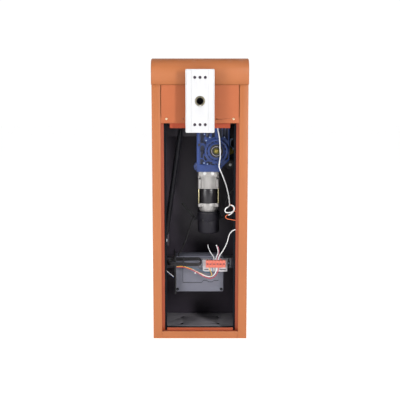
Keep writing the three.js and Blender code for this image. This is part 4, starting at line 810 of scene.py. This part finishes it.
for node in ("crank", "rod_lever", "spring_arm"):
    eased(node, gold_zinc, 0.6 * MM)
eased("connecting_rod", satin_black, 0.8 * MM)
PIN_X = 0.115
PIN_Z = 0.620
PIN_FACE = 0.0546
WASHER_THICKNESS = 3
washer = [(6.1, 0), (16.8, 0), (16.8, 2.2), (16.0, WASHER_THICKNESS), (6.1, WASHER_THICKNESS), (6.1, 0)]
shank = [(0, -23.8), (5.9, -23.8), (5.9, 3.1), (0, 3.1)]
washer_piece = stand(turned(washer, 36), (PIN_X, PIN_FACE, PIN_Z))
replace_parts(joined("crank_washer", [washer_piece], "crank", satin_black), "crank_bolt")
bolt_parts = [
    stand(turned(shank), (PIN_X, PIN_FACE, PIN_Z)),
    stand(hex_head(0.0044, 0.0058), (PIN_X, PIN_FACE - WASHER_THICKNESS * MM, PIN_Z)),
]
bolt_zinc = bright_zinc("crank_bolt_zinc", (0.75, 0.75, 0.76), 0.35)
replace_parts(joined("crank_bolt_piece", bolt_parts, "crank", bolt_zinc), "crank_bolt")

# ---- Boom shaft and arm plate ----
# A keyed, bored shaft in yellow zinc, with the white coated plate that the arm is bolted to through six
# blind rivet nuts.

SHAFT_Z = 864
grey_gold = yellow_passivate("boom_shaft_zinc", (0.21, 0.185, 0.12), (0, 0, -SHAFT_Z * MM))
eased("boom_shaft", grey_gold, 0.9 * MM)
eased("shaft_key", cast_steel, 0.4 * MM)
white_coat = powder_coat("white_powder_coat", (0.56, 0.56, 0.57), 0.38, 0.00003)
eased("arm_plate", white_coat, 1.0 * MM, 3)
nut = [(0, 2), (4.0, 2), (4.0, 6.0), (4.3, 6.4), (5.05, 6.4), (5.05, -7), (4.2, -8), (0, -8), (0, 2)]
nut_steel = bright_zinc("rivet_nut_zinc", (0.12, 0.10, 0.125), 0.5)
rivet_nuts = [
    stand(turned(nut, 20), (x * MM, -0.1925, (SHAFT_Z + row * 80.6) * MM))
    for x in (-18, 0, 18)
    for row in (-1, 1)
]
joined("arm_plate_rivet_nuts", rivet_nuts, "boom", nut_steel)

# ---- Balance spring ----
# A close-wound extension spring of black oiled wire. Its ends are wound down on to screwed hooks: the
# lower one hangs on the anchor bolt and the upper one on the spring arm's pin.

ANCHOR = Vector((-0.132, 0, 0.338))
SPRING_END = Vector((-0.066, 0, 0.800))
WIRE = 3.5 * MM
COIL_RADIUS = 8.7 * MM
COIL_LOW = 0.018
COIL_HIGH = 0.4230
TAPER_LOW = 0.010
TAPER_HIGH = 0.020


def swept(path, radius, sides=6):
    """A round wire along a path in metres, closed at its ends."""
    work = bmesh.new()
    rings = []
    for i, place in enumerate(path):
        along = (path[min(i + 1, len(path) - 1)] - path[max(i - 1, 0)]).normalized()
        out = along.cross(Vector((0, 0, 1)) if abs(along.z) < 0.9 else Vector((1, 0, 0))).normalized()
        over = along.cross(out)
        turn = [2 * math.pi * k / sides for k in range(sides)]
        spokes = [math.cos(a) * out + math.sin(a) * over for a in turn]
        rings.append([work.verts.new(place + radius * spoke) for spoke in spokes])
    for low, high in zip(rings, rings[1:]):
        for i in range(sides):
            j = (i + 1) % sides
            work.faces.new((low[i], low[j], high[j], high[i]))
    work.faces.new(rings[0][::-1])
    work.faces.new(rings[-1])
    bmesh.ops.recalc_face_normals(work, faces=work.faces)
    mesh = bpy.data.meshes.new("wire")
    work.to_mesh(mesh)
    work.free()
    return mesh


def coil_path():
    """The spring wire's centre: tapered, straight, then tapered on to the top hook."""
    pitch = WIRE * 1.02
    steps = int((COIL_HIGH - COIL_LOW) / pitch * 14)
    path = []
    for i in range(steps + 1):
        height = COIL_LOW + (COIL_HIGH - COIL_LOW) * i / steps
        low = min(1, 0.55 + 0.45 * (height - COIL_LOW) / TAPER_LOW)
        high = min(1, 0.56 + 0.44 * (COIL_HIGH - height) / TAPER_HIGH)
        radius = COIL_RADIUS * min(low, high)
        angle = 2 * math.pi * (height - COIL_LOW) / pitch
        path.append(Vector((radius * math.cos(angle), radius * math.sin(angle), height)))
    return path


lean = (SPRING_END - ANCHOR).to_track_quat("Z", "Y").to_matrix().to_4x4()
spring_frame = Matrix.Translation(ANCHOR) @ lean
oiled_black = black_enamel("oiled_spring_black", (0.010, 0.010, 0.013), 0.3)
coil_mesh = swept(coil_path(), WIRE / 2)
coil_mesh.transform(spring_frame)
coil = joined("balance_spring_coil", [coil_mesh], None, oiled_black)
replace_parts(coil, "balance_spring")
coil_ends = [tuple(spring_frame @ Vector((0, 0, height))) for height in (COIL_LOW, COIL_HIGH)]
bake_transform(coil)
eye_ring = [(5.35, -3.6), (9.2, -3.6), (10, -2.6), (10, 2.6), (9.2, 3.6), (5.35, 3.6), (5.35, -3.6)]
eye_mesh = stand(turned(eye_ring, 28), (0, 0, 0))
stem = [(0, 8.5), (3.1, 8.5), (3.1, 16), (5.4, 17), (5.4, 26), (0, 26)]
low_parts = [eye_mesh, turned(stem, 20)]
for mesh in low_parts:
    mesh.transform(spring_frame)
low_eye = joined("balance_spring_low_eye", low_parts, "spring", oiled_black)
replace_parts(low_eye, "balance_spring")
eased("spring_hook", oiled_black, 0.4 * MM)
anchor_zinc = bright_zinc("anchor_zinc", (0.72, 0.80, 0.84), 0.24)
eased("anchor_bolt", anchor_zinc, 0.4 * MM)

# ---- Limit switch ----
# A small switch in a black moulded case, screwed to the back of the beam. The crank moves its bent
# steel lever by the roller at the tip.

switch_plastic = moulded_rubber("switch_plastic", (0.02, 0.02, 0.022), 0.4)
eased("limit_switch", switch_plastic, 0.6 * MM)
eased("switch_lever", pale_steel, 0.15 * MM)

# ---- Control box ----
# A moulded grey box with a lid on four sunk screws, whose wells are painted shade. The lid has a raised
# field whose foot steps round the tall parts inside, with a thin dark strip of painted shadow under it,
# and a small white lamp.


def moulded_plastic(name, colour, rough=0.4, spark=0.00003):
    """Injection-moulded plastic with a spark-eroded texture and rubbed patches."""
    material, at = new_finish(name)
    rubbed = at.noise(32, 3).ramp(0.35, 0.75)
    grain = at.noise(1500, 2)
    tone = rubbed.tint(colour, lighter(colour, 1.08))
    return coat(material, at, tone, rough + 0.14 * grain, 0.0, grain, spark)


box_plastic = moulded_plastic("grey_box_plastic", paint_chip(100, 101, 113))
for node in ("control_box", "control_box_lid"):
    eased(node, box_plastic, 0.6 * MM)
RIDGE = [(-63.5, 189.5), (6, 189.5), (13, 197.5), (26, 197.5)]
RIDGE += [(32, 191.5), (46, 191.5), (52, 197), (69, 197)]
field = [*RIDGE, (69, 282), (-63.5, 282)]
joined("lid_raised_field", [prism(field, -61.5, -60.2)], "cabinet", box_plastic)


def ribbon(points, drop, near, far):
    """A thin strip that follows points of (x, z) in millimetres, hung below them."""
    return prism([*points, *[(x, z - drop) for x, z in reversed(points)]], near, far)


# Painted shadow: a thin near-black strip along the foot of the raised field and its left edge, in a
# finish also used for the dark grey end clamp.
dark_grey_and_shadow = moulded_rubber("dark_grey_and_shadow_grey", (0.022, 0.022, 0.028), 0.6)
shadow_line_parts = [ribbon(RIDGE, 2.7, -61.25, -60.2), prism(bar(-64.0, 236, 0.45, 46), -61.0, -60.2)]
joined("lid_shadow_line", shadow_line_parts, "cabinet", dark_grey_and_shadow)
LID_X = (-92 + 87.5) / 2
LID_Z = (153 + 288.3) / 2
LID_SCREWS = [(LID_X + sx * 81.75, LID_Z + sz * 58.65) for sx in (-1, 1) for sz in (-1, 1)]
# Painted shade: a near-black ring in each sunk screw's well.
screw_well = [(2.6, 0), (5.3, 0), (5.3, 0.5), (4.8, 0.9), (2.6, 0.5), (2.6, 0)]
well_shades = [stand(turned(screw_well), (x * MM, -0.0600, z * MM)) for x, z in LID_SCREWS]
well_shade_black = moulded_rubber("screw_well_black", (0.004, 0.004, 0.005), 0.8)
joined("lid_screw_well_shades", well_shades, "cabinet", well_shade_black)
screws = [stand(cross_head(0.0024, 0.0016), (x * MM, -0.0568, z * MM), turn=z) for x, z in LID_SCREWS]
joined("lid_screws", screws, "cabinet", black_bolts)
white_plastic = moulded_plastic("white_lamp_plastic", (0.78, 0.78, 0.76), 0.3)
lamp = [(0, 0), (2.9, 0), (2.9, 0.8), (2.3, 1.6), (1.3, 2.0), (1.3, 1.4), (0, 1.4)]
lamp_mesh = stand(turned(lamp), (-0.0175, -0.0614, 0.2245))
joined("lid_lamp", [lamp_mesh], "cabinet", white_plastic)
eased("control_board", moulded_plastic("board_green", (0.03, 0.15, 0.07)), 0.2 * MM)

# ---- Rail and terminals ----
# A slotted zinc top-hat rail with an end clamp, a pale carrier snapped on it, and a coral red strip of
# six screw terminals with crimped ferrules in its upper row.

RAIL_SLOTS = [prism(bar(x, z, 2.6, 0.9), -69, -66) for x in (4.5, 108.5) for z in (250.2, 279.8)]
RAIL_SLOTS += [prism(bar(x, 265, 2.6, 6.5), -63, -59) for x in (4.5, 108.5)]
rail_zinc = bright_zinc("rail_zinc", (0.34, 0.34, 0.38), 0.36)
eased("mounting_rail", rail_zinc, 0.25 * MM, cuts=RAIL_SLOTS)
clamp_front = [(109, 249), (109, 258), (111.5, 262), (111.5, 268), (109, 272), (109, 281)]
clamp = [(103.5, 249), *clamp_front, (103.5, 281)]
clamp_screw = stand(cross_head(0.0026, 0.0016), (0.1072, -0.0742, 0.265), turn=0.5)
joined("rail_end_clamp", [prism(clamp, -74.2, -68.0)], "cabinet", dark_grey_and_shadow)
joined("rail_clamp_screw", [clamp_screw], "cabinet", pale_steel)
carrier_plastic = moulded_plastic("pale_plastic", (0.47, 0.46, 0.48))
eased("terminal_carrier", carrier_plastic, 0.6 * MM)
carrier_slots = [prism(bar(x, 242.4, half, 1.3), -82.6, -81.0) for x, half in ((23.4, 7.6), (84.4, 11.6))]
joined("carrier_slot_shadow", carrier_slots, "cabinet", dark_grey_and_shadow)
coral = moulded_plastic("coral_plastic", paint_chip(204, 108, 90), 0.32)
eased("terminal_block", coral, 0.35 * MM)
WAYS = [21.5 + (way + 0.5) * 72.5 / 6 for way in range(6)]
mauve_screws = bright_zinc("terminal_screw_zinc", (0.36, 0.22, 0.32), 0.35)
ROW_Z = 0.26665
screws = [stand(cross_head(0.0027, 0.0014), (x * MM, -0.0936, ROW_Z), turn=0.3 + x) for x in WAYS]
joined("terminal_screws", screws, "cabinet", mauve_screws)
collar = [(2.95, 0), (4.1, 0), (4.1, 0.7), (3.6, 1.1), (2.95, 0.7), (2.95, 0)]
collars = [stand(turned(collar, 20), (x * MM, -0.0976, ROW_Z)) for x in WAYS]
joined("terminal_screw_collars", collars, "cabinet", coral)
ferrule = [(0, -6), (1.5, -6), (1.5, 1.5), (1.1, 3.5), (1.0, 5.5), (0, 5.5)]
FERRULES = [
    ("umber", paint_chip(110, 70, 60), WAYS[0]),
    ("navy", paint_chip(46, 58, 120), WAYS[1] + 3.5),
    ("coral_red", paint_chip(220, 70, 60), WAYS[4]),
]
for name, colour, x in FERRULES:
    tip = stand(turned(ferrule, 16), (x * MM, -0.0915, 0.2800), (0.1, 0, 1))
    joined("ferrule_" + name, [tip], "cabinet", moulded_plastic("ferrule_" + name, colour))

# ---- Wires and cables ----
# Free wiring: a white lead down from the head, knotted above a pair of orange tails, leads to the
# terminals, a bundle of coloured wires that sags across the box, and two black cables.


def insulation(name, colour, rough=0.35):
    """Extruded insulation with faint lengthwise smears and a slight sheen."""
    material, at = new_finish(name)
    smear = at.stretched(1, 1, 0.2).noise(120, 3).ramp(0.4, 0.8)
    tone = smear.tint(colour, lighter(colour, 0.85))
    return coat(material, at, tone, rough + 0.2 * smear, 0.0, at.noise(900, 2), 0.00002)


def through(points, steps=8):
    """A smooth line through given points in millimetres, as a list in metres."""
    knots = [Vector(p) * MM for p in points]
    knots = [2 * knots[0] - knots[1], *knots, 2 * knots[-1] - knots[-2]]
    line = []
    for a, b, c, d in zip(knots, knots[1:], knots[2:], knots[3:]):
        for i in range(steps):
            t = i / steps
            bend = (2 * a - 5 * b + 4 * c - d) * t**2 + (3 * b - a - 3 * c + d) * t**3
            line.append(0.5 * (2 * b + (c - a) * t + bend))
    return [*line, knots[-2]]


def line_length(line):
    return sum((b - a).length for a, b in zip(line, line[1:]))


def wire(name, points, size, finish, node=None):
    """A cord along given points: one smooth tube, which replaces its CAD part if one is named."""
    line = through(points)
    diameter = size * MM
    curve = bpy.data.curves.new(name, "CURVE")
    curve.dimensions = "3D"
    curve.bevel_depth = diameter / 2
    curve.bevel_resolution = 3
    curve.use_fill_caps = True
    spline = curve.splines.new("POLY")
    spline.points.add(len(line) - 1)
    for knot, place in zip(spline.points, line):
        knot.co = (*place, 1)
    spline.use_smooth = True
    curve.materials.append(finish)
    piece = bpy.data.objects.new(name, curve)
    bpy.context.scene.collection.objects.link(piece)
    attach(piece, "cabinet")
    if node:
        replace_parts(piece, node)
    round(line_length(line), 3)


white_skin = insulation("white_insulation", (0.74, 0.74, 0.74))
orange_skin = insulation("orange_insulation", paint_chip(226, 112, 66))
black_skin = insulation("black_sheath", (0.007, 0.006, 0.008), 0.7)
hank_skin = insulation("folded_sheath", (0.011, 0.0095, 0.012), 0.42)
pink_skin = insulation("pink_insulation", paint_chip(196, 108, 130))
red_skin = insulation("red_insulation", paint_chip(196, 34, 56))
yellow_skin = insulation("yellow_insulation", paint_chip(228, 178, 60))
blue_skin = insulation("blue_insulation", paint_chip(38, 62, 130))
teal_skin = insulation("teal_insulation", paint_chip(50, 100, 124))

WHITE_LEAD = [
    (52, -97, 806),
    (57.5, -93, 787),
    (63, -88, 766.2),
    (65.8, -80, 753),
    (68.5, -72, 742.5),
    (71, -66, 727),
    (72.6, -63, 706),
    (73.6, -63, 681),
    (74, -63, 657),
    (71.5, -62, 642),
    (70.3, -61.5, 626.5),
    (73, -62, 614.5),
    (80, -66, 598.5),
    (88, -72, 578.5),
    (96, -80, 556),
    (103, -90, 529),
    (106, -97, 509.5),
    (107.4, -105, 489),
    (102.8, -110, 482.6),
    (94.4, -112, 477.6),
    (90.6, -114, 470),
    (94.4, -117, 463),
    (104.9, -121, 462.5),
    (116, -127, 466.5),
    (122.6, -132, 474),
    (123.2, -134, 482.5),
    (118.4, -131, 489),
    (110.7, -126, 491),
]
wire("white_lead_wire", WHITE_LEAD, 4.6, white_skin, "white_lead")
ORANGE_WIRE = [
    (104.5, -122, 455.5),
    (97.5, -124, 454.2),
    (92.6, -125.2, 449.2),
    (94.6, -127, 443.4),
    (102.5, -128.4, 440.2),
    (114, -130, 438.4),
    (126.8, -130, 436.5),
    (134.5, -130, 436),
]
wire("orange_tail_wire", ORANGE_WIRE, 2.4, orange_skin, "orange_wire")
KNOT_TAIL = [
    (122, -139.8, 486),
    (122.1, -138.8, 477.1),
    (120, -136.8, 470.3),
    (115.3, -133.2, 463.6),
    (109.2, -129.7, 458),
    (103, -127, 454.4),
]
wire("knot_white_tail", KNOT_TAIL, 3.4, white_skin)
UPPER_ORANGE = [
    (134.5, -130, 469.3),
    (127.7, -130, 468.4),
    (122.5, -129.8, 471.5),
    (120.3, -129.4, 477.6),
    (119.8, -128, 484),
    (117.5, -125, 489.1),
    (113.1, -121, 491.9),
    (108.3, -116, 490.4),
]
wire("upper_orange_tail", UPPER_ORANGE, 2.4, orange_skin)
SIDE_LEAD = [
    (134.5, -130, 403),
    (126, -130, 401.5),
    (117, -130, 397),
    (109.5, -127, 388.5),
    (104.5, -122, 375.9),
    (100.7, -116, 359),
    (95, -110, 341),
    (86.3, -104, 322),
    (76.8, -99, 306.5),
    (70, -94.5, 293.5),
    (68, -90.5, 282),
]
wire("side_lead_wire", SIDE_LEAD, 3.6, white_skin, "side_lead")
LOOSE_WIRE = [
    (52, -91, 281),
    (50, -88, 291),
    (44, -83, 300),
    (36, -79, 312),
    (31, -76, 325),
    (29, -74, 335),
]
wire("loose_white_wire", LOOSE_WIRE, 2.4, white_skin, "loose_wire")
UPPER_WHITE = [
    (58.5, -91, 281.5),
    (59.5, -90, 288),
    (63, -87, 296),
    (66, -83, 306),
    (66, -80, 316),
    (63, -77, 327),
    (60, -75, 334),
]
UPPER_PINK = [
    (64, -91.5, 281.5),
    (65, -90, 289),
    (68, -87, 298),
    (70, -84, 308),
    (69.5, -81, 318),
    (67, -78, 326),
    (63, -76.5, 330),
]
wire("upper_white_wire", UPPER_WHITE, 3, white_skin, "upper_wires")
wire("upper_pink_wire", UPPER_PINK, 2.4, pink_skin, "upper_wires")
LOWER_RED = [
    (-86, -91, 253),
    (-70, -92.5, 254.5),
    (-54, -93.5, 252.5),
    (-38, -94, 247),
    (-22, -94, 240),
    (-4, -93.5, 230),
    (14, -92.5, 219),
    (32, -92, 212),
    (47, -92.5, 213.5),
    (58, -93.5, 223),
    (66, -94.5, 238),
    (69, -94, 251.5),
]
LOWER_YELLOW = [
    (-86, -93, 256.5),
    (-70, -94.5, 258),
    (-54, -95.5, 256),
    (-40, -93.5, 250.5),
    (-24, -87, 242.5),
    (-8, -84.5, 234),
    (8, -84, 226),
    (22, -84, 219.5),
    (34, -86, 217),
    (42, -92, 220.5),
    (43.5, -97, 228),
    (39.5, -98, 239),
    (33, -93.5, 251.5),
]
LOWER_BLUE = [
    (-86, -90, 259),
    (-70, -91, 260),
    (-54, -91.5, 258),
    (-38, -91, 254),
    (-20, -90, 248),
    (-2, -88.5, 242),
    (14, -88, 237),
    (28, -89.5, 233),
    (40, -94, 235),
    (46, -96.5, 242),
    (46, -93, 251.5),
]
LOWER_WHITE = [
    (-86, -86.5, 254),
    (-62, -87.5, 256),
    (-42, -88, 250),
    (-24, -89, 241),
    (-4, -89.5, 231),
    (16, -89, 221.5),
    (34, -88.5, 217),
    (47, -89, 220),
    (55, -90.5, 229),
    (60, -92, 240),
    (61.5, -92.5, 251.5),
]
for name, points, size, skin in (
    ("red", LOWER_RED, 2.6, red_skin),
    ("yellow", LOWER_YELLOW, 2.4, yellow_skin),
    ("blue", LOWER_BLUE, 2.4, teal_skin),
    ("white", LOWER_WHITE, 3.8, white_skin),
):
    wire("lower_" + name + "_wire", points, size, skin, "lower_wires")
CORNER_STRAND = [
    (-149, -60, 256),
    (-142, -68, 251),
    (-134, -76, 245),
    (-124, -82, 238),
    (-113, -86, 229),
    (-103, -88, 221),
    (-97, -89, 217),
]
wire("corner_white_wire", CORNER_STRAND, 2.6, white_skin)
corner_mate = [(x, y + 1.4, z - 3) for x, y, z in CORNER_STRAND]
wire("corner_blue_wire", corner_mate, 2.2, blue_skin)
MOTOR_CABLE = [
    (-15, 2, 424),
    (-20, 2, 424),
    (-28, 1, 415),
    (-34, 0, 400),
    (-41, -6, 378),
    (-50, -14, 350),
    (-60, -26, 327),
    (-68, -40, 311),
    (-75, -56, 303),
    (-79, -68, 299),
    (-80.5, -77, 294),
]
wire("motor_cable_sheath", MOTOR_CABLE, 7, black_skin, "motor_cable")
BRAKE_CABLE = [
    (78.6, 2, 424),
    (83, 2, 424),
    (91, 3, 429),
    (94, 4, 440),
    (95, 5, 456),
    (98, 6, 478),
    (106, 7, 500),
    (118, 8, 520),
    (132, 9, 534),
    (147, 10, 540),
]
wire("brake_cable_sheath", BRAKE_CABLE, 7, black_skin, "brake_cable")
HANK_TAIL = [
    (-97, -20, 302),
    (-96, -36, 301),
    (-95, -52, 300),
    (-94, -68, 299),
    (-93, -82, 296),
    (-92, -91, 286),
    (-92, -92.5, 270),
    (-92, -92.5, 250),
    (-91.5, -92, 225),
    (-91, -90, 196),
    (-91, -88.5, 172),
    (-91, -87, 152),
]
wire("hanging_cable", HANK_TAIL, 7, black_skin, "hank_tail")

# ---- Spare cable ----
# The rest of the cable, black sheathed, folded back and forth in line with the shelf. A tie draws the
# runs together.

HANK_MIDDLE = Vector((-58, -87, 273.5))
HANK_RUN = 95
HANK_FOLD = 14.7
HANK_TURNS = 3
HANK_SIZE = 4.8
HANK_LEAN = (math.radians(-78), math.radians(-57))  # how far the loops tip back, left and right


def hank_points():
    """Flat loops with round folds, each a cable's width from the last, twisted flat towards the left."""
    points = []
    steps = 44
    lap = 2 * HANK_RUN + 2 * math.pi * HANK_FOLD
    for i in range(HANK_TURNS * steps + 1):
        gone = (i % steps) / steps * lap
        layer = (i / (HANK_TURNS * steps) - 0.5) * HANK_TURNS * HANK_SIZE * 1.03
        half = HANK_RUN / 2
        if gone < HANK_RUN:
            x, z = -half + gone, HANK_FOLD
        elif gone < lap / 2:
            turn = (gone - HANK_RUN) / HANK_FOLD
            x, z = half + HANK_FOLD * math.sin(turn), HANK_FOLD * math.cos(turn)
        elif gone < lap / 2 + HANK_RUN:
            x, z = half - (gone - lap / 2), -HANK_FOLD
        else:
            turn = (gone - lap / 2 - HANK_RUN) / HANK_FOLD
            x, z = -half - HANK_FOLD * math.sin(turn), -HANK_FOLD * math.cos(turn)
        share = (x + half + HANK_FOLD) / (HANK_RUN + 2 * HANK_FOLD)
        lean = HANK_LEAN[0] + (HANK_LEAN[1] - HANK_LEAN[0]) * share
        y = layer * math.cos(lean) - z * math.sin(lean)
        points.append(HANK_MIDDLE + Vector((x, y, layer * math.sin(lean) + z * math.cos(lean))))
    return points


wire(
    "folded_cable",
    hank_points(),
    HANK_SIZE,
    hank_skin,
    "cable_hank",
)
TIE_MIDDLE = Vector((-0.060, -0.0875, 0.2735))
TIE_DEEP = 0.0190
TIE_TALL = 0.0175
tie_loop = []
for i in range(25):
    turn = 2 * math.pi * i / 24
    tie_loop.append(TIE_MIDDLE + Vector((0, TIE_DEEP * math.cos(turn), TIE_TALL * math.sin(turn))))
joined("hank_tie", [swept(tie_loop, 1.5 * MM, 8)], "cabinet", black_rubber)
